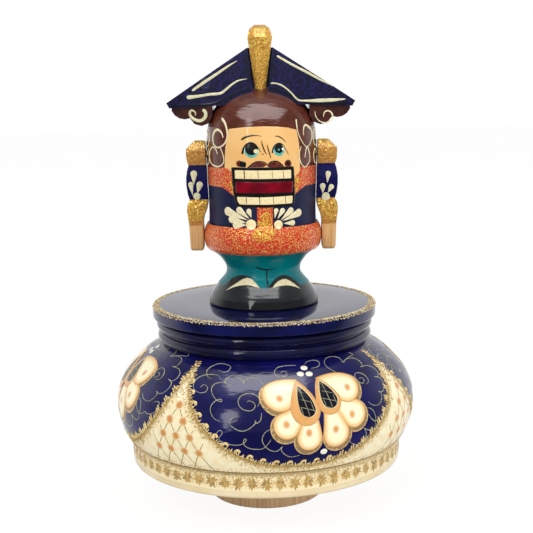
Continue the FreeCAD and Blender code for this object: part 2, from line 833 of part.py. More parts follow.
def make_governor_worm():
    """Upright worm: a right-hand thread with its groove towards the idler wheel."""
    core = worm_radius - dedendum * wheel_module
    tip = worm_radius + addendum * wheel_module
    slope = math.tan(pressure_angle)
    pitch_half = worm_lead / 4 - wheel_thinning
    root = core - root_depth
    corners = []
    for radius, side in ((root, -1), (tip, -1), (tip, 1), (root, 1)):
        corners.append(Vector(radius, 0, side * (pitch_half - (radius - worm_radius) * slope)))
    profile = Part.makePolygon(corners + corners[:1])
    helix = Part.makeHelix(worm_lead, worm_lead * (worm_turns - 1), worm_radius)
    thread = Part.Wire(helix).makePipeShell([profile], True, True)
    turn_to_wheel = 0.75
    start = axis_z + worm_lead * (0.5 - turn_to_wheel - (worm_turns - 1) // 2)
    thread.translate(Vector(worm_x, worm_y, start))
    body = rod_z(core, thread_base, thread_top, worm_x, worm_y)
    shaft = rod_z(worm_shaft_radius, bedplate_top - bedplate_thickness / 2 + running_gap, top_tab_top,
                  worm_x, worm_y)
    return joined(body, [thread, shaft])


def make_governor_fan():
    """Air brake: a hub with two flat blades."""
    hub = rod_z(fan_hub_radius, fan_base, fan_top, worm_x, worm_y)
    blades = box(worm_x - fan_radius, worm_x + fan_radius, worm_y - fan_blade / 2, worm_y + fan_blade / 2,
                 fan_base, fan_top)
    bore = rod_z(worm_shaft_radius + glue_gap, fan_base, fan_top, worm_x, worm_y)
    return joined(hub, [blades]).cut(bore)


def make_comb():
    """Steel comb: the slots between its teeth grow longer towards the low notes."""
    left, right = cylinder_x - comb_side, cylinder_end + comb_side
    back = box(left, right, comb_back_y, comb_root_y, comb_bottom, comb_top)
    reach = comb_slot / 2
    teeth = box(cylinder_x + reach, cylinder_end - reach, comb_root_y, comb_tip_y, comb_bottom, comb_top)
    slots = []
    for k in range(1, track_count):
        length = comb_tooth_long + (comb_tooth_short - comb_tooth_long) * k / track_count
        x = cylinder_x + k * track_pitch
        slots.append(box(x - reach, x + reach, comb_tip_y - length, comb_tip_y, comb_bottom, comb_top))
    holes = screw_holes(small_screw, comb_screw_places(), comb_top)
    return joined(back, [teeth]).cut(slots + holes)


def make_comb_screws():
    return Part.makeCompound([screw(small_screw, x, y, comb_top) for x, y in comb_screw_places()])


def make_gear_frame():
    """Bent end plate: carries the cylinder's and the idler's pivots, and the governor's top pivot."""
    low_top = axis_z + shaft_radius + frame_margin
    inner_y = worm_y - fan_radius - shake
    plate = box(plate_x, plate_end, -frame_left, inner_y, bedplate_top, low_top)
    tower = box(plate_x, plate_end, idler_y - frame_margin, inner_y, bedplate_top, top_tab_top)
    arm = box(worm_x - frame_margin, plate_end, idler_y - frame_margin, worm_y + frame_margin,
              top_tab_base, top_tab_top)
    foot = box(plate_end - frame_plate / 2, plate_end + frame_foot, -frame_left, inner_y,
               bedplate_top, bedplate_top + frame_foot_thickness)
    holes = [rod_x(shaft_radius + running_gap, plate_x, plate_end, 0, axis_z),
             rod_x(idler_pivot_radius + running_gap, plate_x, plate_end, idler_y, axis_z),
             rod_z(worm_shaft_radius + running_gap, top_tab_base, top_tab_top, worm_x, worm_y)]
    return joined(plate, [tower, arm, foot]).cut(holes + frame_screw_holes())


def make_gear_frame_screws():
    seat = bedplate_top + frame_foot_thickness
    return Part.makeCompound([screw(small_screw, x, y, seat) for x, y in frame_screw_places()])


# Every piece by the name of its file; left and right are the soldier's own
pieces = {
    "foot_disc": make_foot_disc,
    "turntable_flange": make_turntable_flange,
    "flange_screws": make_flange_screws,
    "thrust_washer": make_thrust_washer,
    "winding_arbor": make_winding_arbor,
    "great_wheel": make_great_wheel,
    "base_cap": make_base_cap,
    "bowl": make_bowl,
    "platform": make_platform,
    "figure_dowel": lambda: figure_dowel_shape(0),
    "figure_body": make_figure_body,
    "shoulder_dowels": make_shoulder_dowels,
    "right_arm": make_right_arm,
    "left_arm": make_left_arm,
    "hat_dowel": lambda: hat_dowel_shape(0),
    "hat": make_hat,
    "plume": make_plume,
    "bedplate": make_bedplate,
    "movement_screws": make_movement_screws,
    "spring_housing": make_spring_housing,
    "mainspring": make_mainspring,
    "cylinder_shaft": make_cylinder_shaft,
    "cylinder_pinion": make_cylinder_pinion,
    "pinned_cylinder": make_pinned_cylinder,
    "cylinder_gear": make_cylinder_gear,
    "idler_pinion": make_idler_pinion,
    "idler_wheel": make_idler_wheel,
    "governor_worm": make_governor_worm,
    "governor_fan": make_governor_fan,
    "comb": make_comb,
    "comb_screws": make_comb_screws,
    "gear_frame": make_gear_frame,
    "gear_frame_screws": make_gear_frame_screws,
}

os.makedirs("parts", exist_ok=True)
for name, make in pieces.items():
    make().exportStep("parts/" + name + ".step")
    print("wrote", name)
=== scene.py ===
import bisect
import json
import random
from math import asin, atan2, ceil, copysign, cos, dist, hypot, pi, radians, sin, sqrt

import bmesh
import bpy
from mathutils import Matrix, Vector


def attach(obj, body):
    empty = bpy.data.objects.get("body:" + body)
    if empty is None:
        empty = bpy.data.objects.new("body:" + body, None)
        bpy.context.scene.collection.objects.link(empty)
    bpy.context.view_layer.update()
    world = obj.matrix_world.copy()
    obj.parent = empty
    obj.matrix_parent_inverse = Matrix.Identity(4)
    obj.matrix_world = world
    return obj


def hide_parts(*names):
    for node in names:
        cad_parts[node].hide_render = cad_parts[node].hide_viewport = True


# The looks of the wind-up music box with the nutcracker soldier.  Sizes are millimetres, with +Z up and
# the soldier facing -Y.  Turned pieces are redrawn round and smooth, and their painted ornament lies on
# them as thin raised paint, placed by millimetres across and up the surface.

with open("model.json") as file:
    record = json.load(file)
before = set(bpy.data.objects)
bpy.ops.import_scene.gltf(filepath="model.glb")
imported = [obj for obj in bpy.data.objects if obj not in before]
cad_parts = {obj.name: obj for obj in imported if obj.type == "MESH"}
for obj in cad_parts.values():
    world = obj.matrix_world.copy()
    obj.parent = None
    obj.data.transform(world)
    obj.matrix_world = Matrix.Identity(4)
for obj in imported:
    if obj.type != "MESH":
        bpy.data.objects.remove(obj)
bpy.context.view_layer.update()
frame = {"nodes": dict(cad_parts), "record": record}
chance = random.Random(7)
vary, choose = chance.uniform, chance.choice

MM = 0.001
ROUND = 224                # flat sides of a turned piece

# Heights and radii of the part's source
foot_radius = 23.0
foot_height = 11.0
box_bottom = 16.3
rim_radius = 54.4
seam_height = 26.2
seam_radius = 55.4
socket_radius = 51.03
board_top = 29.2
board_bore = 3.2
rim_round = 1.6
seam_round = 0.5
equator_height = 40.8
bowl_radius = 60.0
bore_shoulder = 53.8
neck_bore = 35.5
neck_height = 65.2
neck_radius = 40.6
bead_height = 4.3
bead_gap = 0.4
bead_groove = 41.6
bead_radii = (43.0, 43.4)
platform_base = 74.6
platform_top = 79.6
platform_radius = 44.9
torso_radius = 21.3
crown_base = 147.0
crown_height = 19.15
shoulder_height = 139.2

# How discs are rounded at their edges: over what length, and how far the middle lies inside the corner
edge_round = 0.9
edge_inset = 0.26

# The hat's board: half its width, half its depth in the middle, and how far its ends lie further back.
# The scallops under it: how far they are set in, and two points of their upper edge, as (x, height)
hat_half_width = 36.8
hat_half_depth = 11.5
hat_bow = 7.5
scallop_set_in = 1.1
scallop_top = ((18.7, 158.0), (35.7, 157.2))


# Materials


def rgb(red, green, blue):
    """A colour as seen on a screen, 0 to 255, in Blender's linear values."""
    parts = [value / 255 for value in (red, green, blue)]
    return [part / 12.92 if part < 0.04 else ((part + 0.055) / 1.055) ** 2.4 for part in parts] + [1.0]


class Nodes:
    """Short calls for the nodes of a material or of the world."""

    def __init__(self, tree):
        self.nodes, self.links = tree.nodes, tree.links

    def feed(self, sockets, values):
        for name, value in values.items():
            if isinstance(value, bpy.types.NodeSocket):
                self.links.new(value, sockets[name])
            else:
                sockets[name].default_value = value

    def node(self, kind, inputs=None, output=0, **settings):
        """Add a node, feed its inputs and return one of its outputs."""
        node = self.nodes.new("ShaderNode" + kind)
        for name, value in settings.items():
            setattr(node, name, value)
        self.feed(node.inputs, inputs or {})
        return node.outputs[output]

    def maths(self, operation, first, second=0.0):
        return self.node("Math", {0: first, 1: second}, operation=operation)

    def vector(self, operation, first, second=(0, 0, 0), output=0):
        return self.node("VectorMath", {0: first, 1: second}, output, operation=operation)

    def axis(self, vector, index):
        return self.node("SeparateXYZ", {0: vector}, index)

    def ramp(self, value, low, high, first=0.0, last=1.0):
        """First below low, last above high and smooth in between."""
        inputs = {"Value": value, "From Min": low, "From Max": high, "To Min": first, "To Max": last}
        return self.node("MapRange", inputs, interpolation_type="SMOOTHSTEP")

    def pick(self, amount, first, second):
        """A number between two."""
        return self.node("Mix", {0: amount, 2: first, 3: second})

    def mix(self, amount, first, second):
        """A colour between two, each a socket or as seen on a screen."""
        first, second = (value if isinstance(value, bpy.types.NodeSocket) else rgb(*value)
                         for value in (first, second))
        return self.node("Mix", {0: amount, 6: first, 7: second}, 2, data_type="RGBA")


class Look(Nodes):
    """A material in the making: one Principled shader, and the patterns that feed it."""

    def __init__(self, roughness, metallic=0.0, coat=0.0):
        self.material = bpy.data.materials.new("paint")
        self.material.use_nodes = True
        super().__init__(self.material.node_tree)
        self.set({"Roughness": roughness, "Metallic": metallic, "Coat Weight": coat, "Coat Roughness": 0.04,
                  "Specular IOR Level": 0.5 * (1 - coat)})
        self.place = self.node("TexCoord", output="Object")

    def set(self, values):
        self.feed(self.nodes["Principled BSDF"].inputs, values)
        return self

    def noise(self, size, detail=2.0, stretch=(1, 1, 1)):
        """Soft noise from 0 to 1, with grains of a size in millimetres."""
        spot = self.vector("MULTIPLY", self.place, stretch)
        return self.node("TexNoise", {"Vector": spot, "Scale": 1 / (size * MM), "Detail": detail}, "Fac")

    def mottle(self, size, detail, low, high, colour, tint):
        """Patches of a tint over a colour."""
        return self.mix(self.ramp(self.noise(size, detail), low, high), colour, tint)

    def fade(self):
        """0 in the middle of a painted patch and 1 at its edge."""
        return self.node("Attribute", output="Fac", attribute_name="fade")

    def bump(self, height, depth):
        """Raise the surface by a pattern, to a depth in millimetres."""
        normal = self.node("Bump", {"Height": height, "Distance": depth * MM, "Strength": 1.0})
        return self.set({"Normal": normal, "Coat Normal": normal})

    def sparkle(self, flakes, tilt):
        """Lean each flake its own way, so that some of them catch the light."""
        random_lean = self.vector("SUBTRACT", flakes, (0.5, 0.5, 0.5))
        lean = self.vector("MULTIPLY", random_lean, (tilt, tilt, tilt))
        level = self.node("NewGeometry", output="Normal")
        return self.set({"Normal": self.vector("NORMALIZE", self.vector("ADD", level, lean))})


def lacquer(colour, tint, grain=9.0, waves=0.03, haze=0.04, gloss=1.0):
    """Brushed colour under clear gloss lacquer, with the faint waves that a brush leaves."""
    look = Look(0.32, coat=1.0)
    look.set({"Coat Weight": gloss, "Coat Roughness": haze,
              "Base Color": look.mottle(grain, 3.0, 0.3, 0.7, colour, tint)})
    return look.bump(look.noise(7.0, 2.0, (1, 1, 4)), waves).material


def enamel(colour, tint):
    """A stroke of thick opaque paint."""
    look = Look(0.34, coat=0.6)
    look.set({"Base Color": look.mottle(0.9, 2.0, 0.35, 0.7, colour, tint)})
    return look.bump(look.noise(0.5), 0.02).material


def glitter(ground, flakes, bright, cover, size=0.45, clump=0.7):
    """Glitter in clear paint: flakes of two colours over a ground, each leaning its own way."""
    look = Look(0.3, coat=0.35)
    cells = look.node("TexVoronoi", {"Vector": look.place, "Scale": 1 / (size * MM)}, "Color")
    chosen, shade = (look.node("SeparateColor", {0: cells}, index) for index in (0, 1))
    clumps = look.maths("MULTIPLY", look.noise(clump, 3.0), 1.6)
    height = look.maths("ADD", look.maths("MULTIPLY", chosen, 0.45), clumps)
    is_flake = look.ramp(height, 1.33 - 0.7 * cover, 1.39 - 0.7 * cover)
    look.set({"Base Color": look.mix(is_flake, ground, look.mix(shade, flakes, bright)),
              "Metallic": look.maths("MULTIPLY", is_flake, 0.35)})
    return look.sparkle(cells, 0.7).material


def bare_wood(light, dark, across, line=1.1):
    """Unpainted wood with its grain lines a size apart, lying across the given axis."""
    look = Look(0.62)
    stretch = [1.0 if axis == across else 0.06 for axis in range(3)]
    rings = look.maths("MULTIPLY", look.noise(line, 3.0, stretch), 0.7)
    pores = look.noise(0.35, 2.0, stretch)
    tone = look.maths("ADD", rings, look.maths("MULTIPLY", pores, 0.3))
    look.set({"Base Color": look.mix(look.ramp(tone, 0.32, 0.68), dark, light)})
    return look.bump(pores, 0.03).material


def shaded(stops, gloss=0.6, speckle=0.10, rings=0.0):
    """Paint whose colour runs through (fade, colour) stops from a patch's middle to its edge."""
    look = Look(0.36, coat=gloss)
    uneven = look.maths("MULTIPLY", look.maths("SUBTRACT", look.noise(0.7, 3.0), 0.5), 2 * speckle)
    fade = look.maths("ADD", look.fade(), uneven)
    if rings:
        wave = look.maths("SINE", look.maths("MULTIPLY", look.fade(), 48.0))
        fade = look.maths("ADD", fade, look.maths("MULTIPLY", wave, rings))
    colour = stops[0][1]
    for (start, _), (end, next_colour) in zip(stops, stops[1:]):
        colour = look.mix(look.ramp(fade, start, end), colour, next_colour)
    return look.set({"Base Color": colour}).material


def metal(colour, tint, roughness, grain=0.6):
    look = Look(roughness, metallic=1.0)
    look.set({"Base Color": look.mix(look.noise(2.5, 3.0), colour, tint)})
    return look.bump(look.noise(grain, 2.0), 0.01).material


PAINTS = {
    "navy": lacquer((17, 17, 86), (12, 12, 66), waves=0.14, haze=0.13),
    "deep_navy": lacquer((14, 16, 58), (8, 9, 36), waves=0.08, haze=0.10),
    "cobalt": lacquer((16, 21, 78), (11, 15, 54)),
    "cream": lacquer((242, 226, 190), (234, 214, 170)),
    "swag": lacquer((255, 246, 212), (249, 232, 188), 2.4),
    "teal": lacquer((0, 126, 130), (0, 110, 118), haze=0.22, gloss=0.6),
    # The boots' one black paint comes in two copies. "black" is lighter, a painted sheen on their upper part.
    # The copy at the soles is darker: painted shade where they mirror the dark platform.
    "black": lacquer((44, 48, 50), (32, 36, 38), 4.0, waves=0.10, haze=0.12),
    "sole": lacquer((24, 27, 30), (16, 19, 22), 4.0, haze=0.06),
    "coat": lacquer((34, 37, 68), (26, 29, 60), haze=0.32, gloss=0.4),
    "hair": lacquer((96, 46, 34), (80, 34, 20), 4.0, waves=0.22, haze=0.15),
    "face": lacquer((242, 196, 130), (238, 186, 116)),
    "line_black": enamel((24, 20, 20), (10, 8, 8)),
    "line_brown": enamel((84, 46, 24), (64, 32, 14)),
    "cream_line": enamel((240, 230, 192), (226, 212, 168)),
    "hat_line": enamel((226, 220, 184), (208, 202, 160)),
    "scroll": enamel((176, 172, 134), (142, 146, 124)),
    "ivory": enamel((246, 228, 180), (238, 216, 160)),
    "mouth": lacquer((136, 6, 32), (98, 6, 24), 5.0),
    "moustache": enamel((120, 50, 34), (78, 22, 14)),
    "iris": enamel((104, 196, 184), (70, 164, 156)),
    "white": enamel((252, 248, 232), (240, 234, 206)),
    "lace": enamel((206, 174, 104), (172, 138, 72)),
    "lace_pale": enamel((252, 230, 174), (228, 198, 132)),
    "hook": enamel((240, 214, 146), (206, 172, 104)),
    "lace_dark": enamel((160, 132, 74), (128, 100, 52)),
    "net": enamel((196, 178, 122), (168, 150, 96)),
    "edge_gold": enamel((226, 200, 136), (184, 152, 92)),
    "edge_pale": enamel((246, 232, 186), (226, 206, 150)),
    "red_glitter": glitter((206, 34, 24), (222, 134, 54), (255, 210, 120), 0.36, 0.34, 0.5),
    "mixed_glitter": glitter((202, 52, 22), (216, 144, 36), (255, 220, 100), 0.56, 0.4, 0.6),
    "gold_glitter": glitter((210, 148, 66), (168, 104, 26), (255, 218, 104), 0.64, 0.48),
    "worn_gold": glitter((184, 127, 60), (164, 104, 36), (232, 184, 94), 0.42),
    "petal": shaded([(0.0, (255, 252, 218)), (0.60, (255, 248, 206)), (0.84, (247, 208, 148)),
                     (1.0, (218, 160, 92))], speckle=0.07, rings=0.035),
    "petal_shadow": shaded([(0.0, (104, 86, 74)), (0.88, (146, 120, 86)), (0.97, (216, 180, 116))],
                           gloss=0.3, speckle=0.4, rings=0.05),
    "crescent": shaded([(0.0, (216, 152, 82)), (0.78, (228, 170, 102)), (0.97, (214, 160, 98))],
                       gloss=0.4, speckle=0.3),
    "dot": shaded([(0.0, (220, 152, 84)), (0.34, (230, 170, 104)), (1.0, (255, 246, 214))], speckle=0.05),
    "swag_dot": shaded([(0.0, (208, 142, 76)), (0.45, (216, 154, 88)), (1.0, (250, 232, 188))],
                       speckle=0.3),
    "stipple": shaded([(0.0, (160, 130, 72)), (0.35, (196, 166, 104)), (0.80, (250, 234, 192))],
                      gloss=0.5, speckle=0.9),
    "blossom": enamel((210, 174, 106), (188, 150, 82)),
    "blossom_dark": enamel((184, 154, 96), (158, 128, 74)),
    # Dark navy strokes on the hat's lower edge and beside the plume's notch: painted shade.
    "edge_shade": enamel((14, 20, 40), (8, 12, 28)),
    "sprig": enamel((226, 192, 122), (206, 168, 96)),
    "night": lacquer((14, 14, 34), (6, 6, 20)),
    # The foot's wood is a lighter copy of the other bare wood, raised to make up for the shade under the
    # box's overhang: painted light.
    "foot_wood": bare_wood((236, 203, 160), (204, 168, 128), 0, 1.4),
    "bare_wood": bare_wood((222, 190, 146), (196, 158, 112), 0),
    "hand_wood": bare_wood((224, 178, 120), (200, 148, 90), 0, 0.9),
    "steel": metal((190, 192, 196), (160, 162, 168), 0.28),
    "brass": metal((214, 178, 100), (188, 148, 74), 0.26),
    "cast_frame": metal((168, 170, 174), (130, 132, 136), 0.5, 0.4),
    "washer_fibre": enamel((220, 214, 196), (200, 192, 170)),
}
for name, paint in PAINTS.items():
    paint.name = name


# Meshes


def make_piece(name, body, slot, verts, faces, paints, face_paints=None, fade=None):
    """A mesh object from points in millimetres, riding on a CAD body."""
    mesh = bpy.data.meshes.new(name)
    mesh.from_pydata([Vector(vert) * MM for vert in verts], [], faces)
    for paint in paints:
        mesh.materials.append(PAINTS[paint])
    if face_paints:
        mesh.polygons.foreach_set("material_index", face_paints)
    if fade:
        mesh.attributes.new("fade", "FLOAT", "POINT").data.foreach_set("value", fade)
    mesh.polygons.foreach_set("use_smooth", [True] * len(mesh.polygons))
    mesh.validate()
    piece = bpy.data.objects.new(name, mesh)
    bpy.context.scene.collection.objects.link(piece)
    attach(piece, body)
    return piece


def smooth_line(points, step):
    """A curve through flat points, with steps of about the given length."""
    ends = [points[0], *points, points[-1]]
    line = [points[0]]
    for before, start, end, after in zip(ends, ends[1:], ends[2:], ends[3:]):
        count = max(1, round(dist(start, end) / step))
        for k in range(1, count + 1):
            t = k / count
            line.append(tuple(
                0.5 * (2 * b + (c - a) * t + (2 * a - 5 * b + 4 * c - d) * t * t
                       + (3 * b - a - 3 * c + d) * t ** 3)
                for a, b, c, d in zip(before, start, end, after)))
    return line


def between(values, share):
    """The value at a share of the way through evenly spaced values."""
    place = share * (len(values) - 1)
    k = min(int(place), len(values) - 2)
    return values[k] + (values[k + 1] - values[k]) * (place - k)


def teardrop(tip, centre, radius, points=26, bulge=0.0):
    """Outline of a brush dab: round at its centre, with sides that meet at the tip, straight or bulging."""
    reach = dist(tip, centre)
    lean = asin(min(0.98, radius / reach))
    away = atan2(centre[1] - tip[1], centre[0] - tip[0])
    sweep = pi / 2 + lean - bulge
    arc = []
    for k in range(points + 1):
        turn = away + sweep * (2 * k / points - 1)
        arc.append((centre[0] + radius * cos(turn), centre[1] + radius * sin(turn)))
    side = max(2, int(reach / 1.2))

    def flank(end, way):
        turn = away + way * sweep
        run = dist(end, tip) / 2
        guide = (end[0] - way * run * sin(turn), end[1] + way * run * cos(turn))
        return [tuple((1 - t) ** 2 * a + 2 * t * (1 - t) * g + t * t * b for a, g, b in zip(tip, guide, end))
                for t in (k / side for k in range(side))]
    return flank(arc[0], -1) + arc + flank(arc[-1], 1)[:0:-1]


def circle(centre, radius, points=18, flat=1.0):
    turns = [2 * pi * k / points for k in range(points)]
    return [(centre[0] + radius * cos(t), centre[1] + flat * radius * sin(t)) for t in turns]


def rounded(corners, radius, points=3):
    """A closed outline with its corners rounded."""
    outline = []
    for k, corner in enumerate(corners):
        before = Vector(corners[k - 1]) - Vector(corner)
        after = Vector(corners[(k + 1) % len(corners)]) - Vector(corner)
        start = Vector(corner) + before.normalized() * min(radius, before.length / 2)
        end = Vector(corner) + after.normalized() * min(radius, after.length / 2)
        for j in range(points + 1):
            t = j / points
            spot = start * (1 - t) ** 2 + Vector(corner) * 2 * t * (1 - t) + end * t * t
            outline.append(tuple(spot))
    return outline


def refined(outline, step):
    """A closed outline with points no further apart than the step."""
    fine = []
    for start, end in zip(outline, outline[1:] + outline[:1]):
        count = max(1, ceil(dist(start, end) / step))
        fine += [tuple(a + (b - a) * k / count for a, b in zip(start, end)) for k in range(count)]
    return fine


class Turned:
    """A turned surface: its outline as (radius, height) corners, from the bottom up."""

    def __init__(self, corners):
        self.corners = corners
        self.lengths = [0.0]
        for start, end in zip(corners, corners[1:]):
            self.lengths.append(self.lengths[-1] + dist(start, end))

    def along(self, height):
        """Length along the outline at a height."""
        for k, ((_, low), (_, high)) in enumerate(zip(self.corners, self.corners[1:])):
            if low <= height <= high and low < high:
                stretch = self.lengths[k + 1] - self.lengths[k]
                return self.lengths[k] + stretch * (height - low) / (high - low)
        return self.lengths[0] if height < self.corners[0][1] else self.lengths[-1]

    def place(self, angle, along, lift):
        """The point at an angle from the front and a length along the outline, lifted off the surface."""
        k = min(max(bisect.bisect_right(self.lengths, along) - 1, 0), len(self.corners) - 2)
        (r0, z0), (r1, z1) = self.corners[k], self.corners[k + 1]
        length = self.lengths[k + 1] - self.lengths[k]
        share = (along - self.lengths[k]) / length
        radius = r0 + (r1 - r0) * share + lift * (z1 - z0) / length
        height = z0 + (z1 - z0) * share - lift * (r1 - r0) / length
        return (radius * sin(angle), -radius * cos(angle), height)

    def radius(self, along):
        x, y, _ = self.place(0, along, 0)
        return hypot(x, y)

    def spot(self, degrees, height):
        """A map for paint round a spot: millimetres to its right and up the surface."""
        start = self.along(height)
        middle = radians(degrees)

        def put(x, y, lift):
            along = start + y
            return self.place(middle + x / max(self.radius(along), 1.0), along, lift)
        return put

    def front(self):
        """A map for paint on the front: millimetres round the surface, and the height."""

        def put(x, height, lift):
            along = self.along(height)
            return self.place(x / self.radius(along), along, lift)
        return put

    def beside(self, line, share):
        """A map for paint beside a line of (degrees, height): along the line, and to its left."""
        k = min(int(share * (len(line) - 1)), len(line) - 2)
        (turn, height), (next_turn, next_height) = line[k], line[k + 1]
        rest = share * (len(line) - 1) - k
        turn, height = turn + (next_turn - turn) * rest, height + (next_height - height) * rest
        start = self.along(height)
        radius = self.radius(start)
        step = Vector((radians(next_turn - line[k][0]) * radius,
                       self.along(next_height) - self.along(line[k][1]))).normalized()

        def put(x, y, lift):
            right, up = step.x * x - step.y * y, step.y * x + step.x * y
            return self.place(radians(turn) + right / radius, start + up, lift)
        return put

    def mesh(self, name, body, slot, paints, closed=False):
        """The surface as a mesh, with one paint for each stretch of the outline."""
        corners = self.corners + self.corners[:1] if closed else self.corners
        rings = []
        verts = []
        for radius, height in corners[:len(self.corners)]:
            turns = [2 * pi * k / ROUND for k in range(ROUND if radius else 1)]
            rings.append(range(len(verts), len(verts) + len(turns)))
            verts += [(radius * sin(t), -radius * cos(t), height) for t in turns]
        if closed:
            rings.append(rings[0])
        names = sorted(set(paints))
        faces = []
        face_paints = []
        for low, high, paint in zip(rings, rings[1:], paints):
            for k in range(ROUND):
                face = [ring[j % len(ring)] for ring, j in ((low, k), (low, k + 1), (high, k + 1), (high, k))]
                faces.append(list(dict.fromkeys(face)))
                face_paints.append(names.index(paint))
        piece = make_piece(name, body, slot, verts, faces, names, face_paints)
        piece.data.set_sharp_from_angle(angle=radians(32))
        return piece


class Brush:
    """Raised paint of one colour, gathered into one mesh.  A map puts flat points onto a surface."""

    def __init__(self):
        self.verts, self.faces, self.fade = [], [], []

    def sheet(self, rows, fades, closed=False):
        """Join equally long rows of points, each with the fade of its row."""
        first = len(self.verts)
        wide = len(rows[0])
        for row, fade in zip(rows, fades):
            self.verts += row
            self.fade += [fade] * wide
        for j in range(len(rows) - 1):
            for k in range(wide if closed else wide - 1):
                here, there = first + j * wide, first + (j + 1) * wide
                nxt = (k + 1) % wide
                self.faces.append((here + k, here + nxt, there + nxt, there + k))

    def patch(self, put, outline, lift=0.06, rings=5, dome=0.05, centre=None):
        """A filled outline that is seen whole from its centre."""
        if centre is None:
            centre = [sum(values) / len(outline) for values in zip(*outline)]
        rows = []
        shares = [0.02] + [k / rings for k in range(1, rings)] + [0.97, 1.0]
        for share in shares:
            rise = lift + dome * (1 - share ** 4)
            rows.append([put(centre[0] + (x - centre[0]) * share, centre[1] + (y - centre[1]) * share, rise)
                         for x, y in outline])
        rows.append([put(x, y, -0.03) for x, y in outline])
        self.sheet(rows[::-1], ([*shares, 1.0])[::-1], closed=True)

    def drop(self, put, tip, centre, radius, lift=0.06, rings=4, dome=0.08, points=14):
        self.patch(put, teardrop(tip, centre, radius, points), lift, rings, dome, centre)

    def dot(self, put, centre, radius, lift=0.06, rings=3, dome=0.08, points=16):
        self.patch(put, circle(centre, radius, points), lift, rings, dome, centre)

    def stroke(self, put, points, widths, lift=0.06, dome=0.10, step=0.45):
        """A brush stroke through the points; the widths are spread evenly along it."""
        line = smooth_line(points, step)
        lengths = [0.0]
        for start, end in zip(line, line[1:]):
            lengths.append(lengths[-1] + dist(start, end))
        rows = []
        for k, (x, y) in enumerate(line):
            ahead = line[min(k + 1, len(line) - 1)]
            behind = line[max(k - 1, 0)]
            run = dist(ahead, behind) or 1.0
            across = (-(ahead[1] - behind[1]) / run, (ahead[0] - behind[0]) / run)
            half = between(widths, lengths[k] / lengths[-1]) / 2
            near_end = min(lengths[k], lengths[-1] - lengths[k]) / max(half, 0.01)
            half *= sqrt(max(0.04, 1 - max(0.0, 1 - near_end) ** 2))
            rows.append([put(x + across[0] * half * side, y + across[1] * half * side, lift + dome * rise)
                         for side, rise in ((-1, -0.9), (-0.62, 0.6), (0, 1), (0.62, 0.6), (1, -0.9))])
        self.sheet([list(row) for row in zip(*rows)], (1.0, 0.6, 0.0, 0.6, 1.0))


class Brushes(dict):
    """One brush for each paint used on a piece."""

    def __init__(self, name, body, slot):
        super().__init__()
        self.owner = (name, body, slot)

    def __missing__(self, paint):
        self[paint] = Brush()
        return self[paint]

    def done(self):
        name, body, slot = self.owner
        for paint, brush in self.items():
            make_piece(f"{name}_{paint}", body, slot, brush.verts, brush.faces, [paint], fade=brush.fade)


# Turned outlines


def bend(start, through, end, count):
    """Points on the round stretch from start through a middle point to end, without the start."""
    (ax, ay), (bx, by), (cx, cy) = start, through, end
    twice = 2 * (ax * (by - cy) + bx * (cy - ay) + cx * (ay - by))
    a, b, c = ax * ax + ay * ay, bx * bx + by * by, cx * cx + cy * cy
    middle = ((a * (by - cy) + b * (cy - ay) + c * (ay - by)) / twice,
              (a * (cx - bx) + b * (ax - cx) + c * (bx - ax)) / twice)
    radius = dist(middle, start)
    turns = [atan2(y - middle[1], x - middle[0]) for x, y in (start, through, end)]
    full = 2 * pi
    sweep = (turns[2] - turns[0]) % full
    if (turns[1] - turns[0]) % full > sweep:
        sweep -= full
    return [(middle[0] + radius * cos(turns[0] + sweep * k / count),
             middle[1] + radius * sin(turns[0] + sweep * k / count)) for k in range(1, count + 1)]


def bowl_surface(height):
    """Radius of the bowl: two quarter-ellipses that meet at its widest place."""
    above = height > equator_height
    reach = neck_height - equator_height if above else equator_height - seam_height
    end = neck_radius if above else seam_radius
    half = reach / sqrt(1 - (end / bowl_radius) ** 2)
    return bowl_radius * sqrt(1 - ((height - equator_height) / half) ** 2)


def bowl_outline():
    heights = [seam_height + seam_round + (neck_height - seam_height - seam_round) * k / 56
               for k in range(57)]
    return [(seam_radius - 0.9, seam_height)] + [(bowl_surface(z), z) for z in heights]


def bead_outline(base, radius):
    start, end = (bead_groove, base), (bead_groove, base + bead_height)
    return [start, *bend(start, (radius, base + bead_height / 2), end, 12)]


def disc_edge(radius, low, high, count):
    """Corners up a disc's edge, which is rounded below and above."""
    inner, middle = radius - edge_round, radius - edge_inset
    below = ((inner, low), (middle, low + edge_inset), (radius, low + edge_round))
    above = ((radius, high - edge_round), (middle, high - edge_inset), (inner, high))
    return [below[0], *bend(*below, count), above[0], *bend(*above, count)]


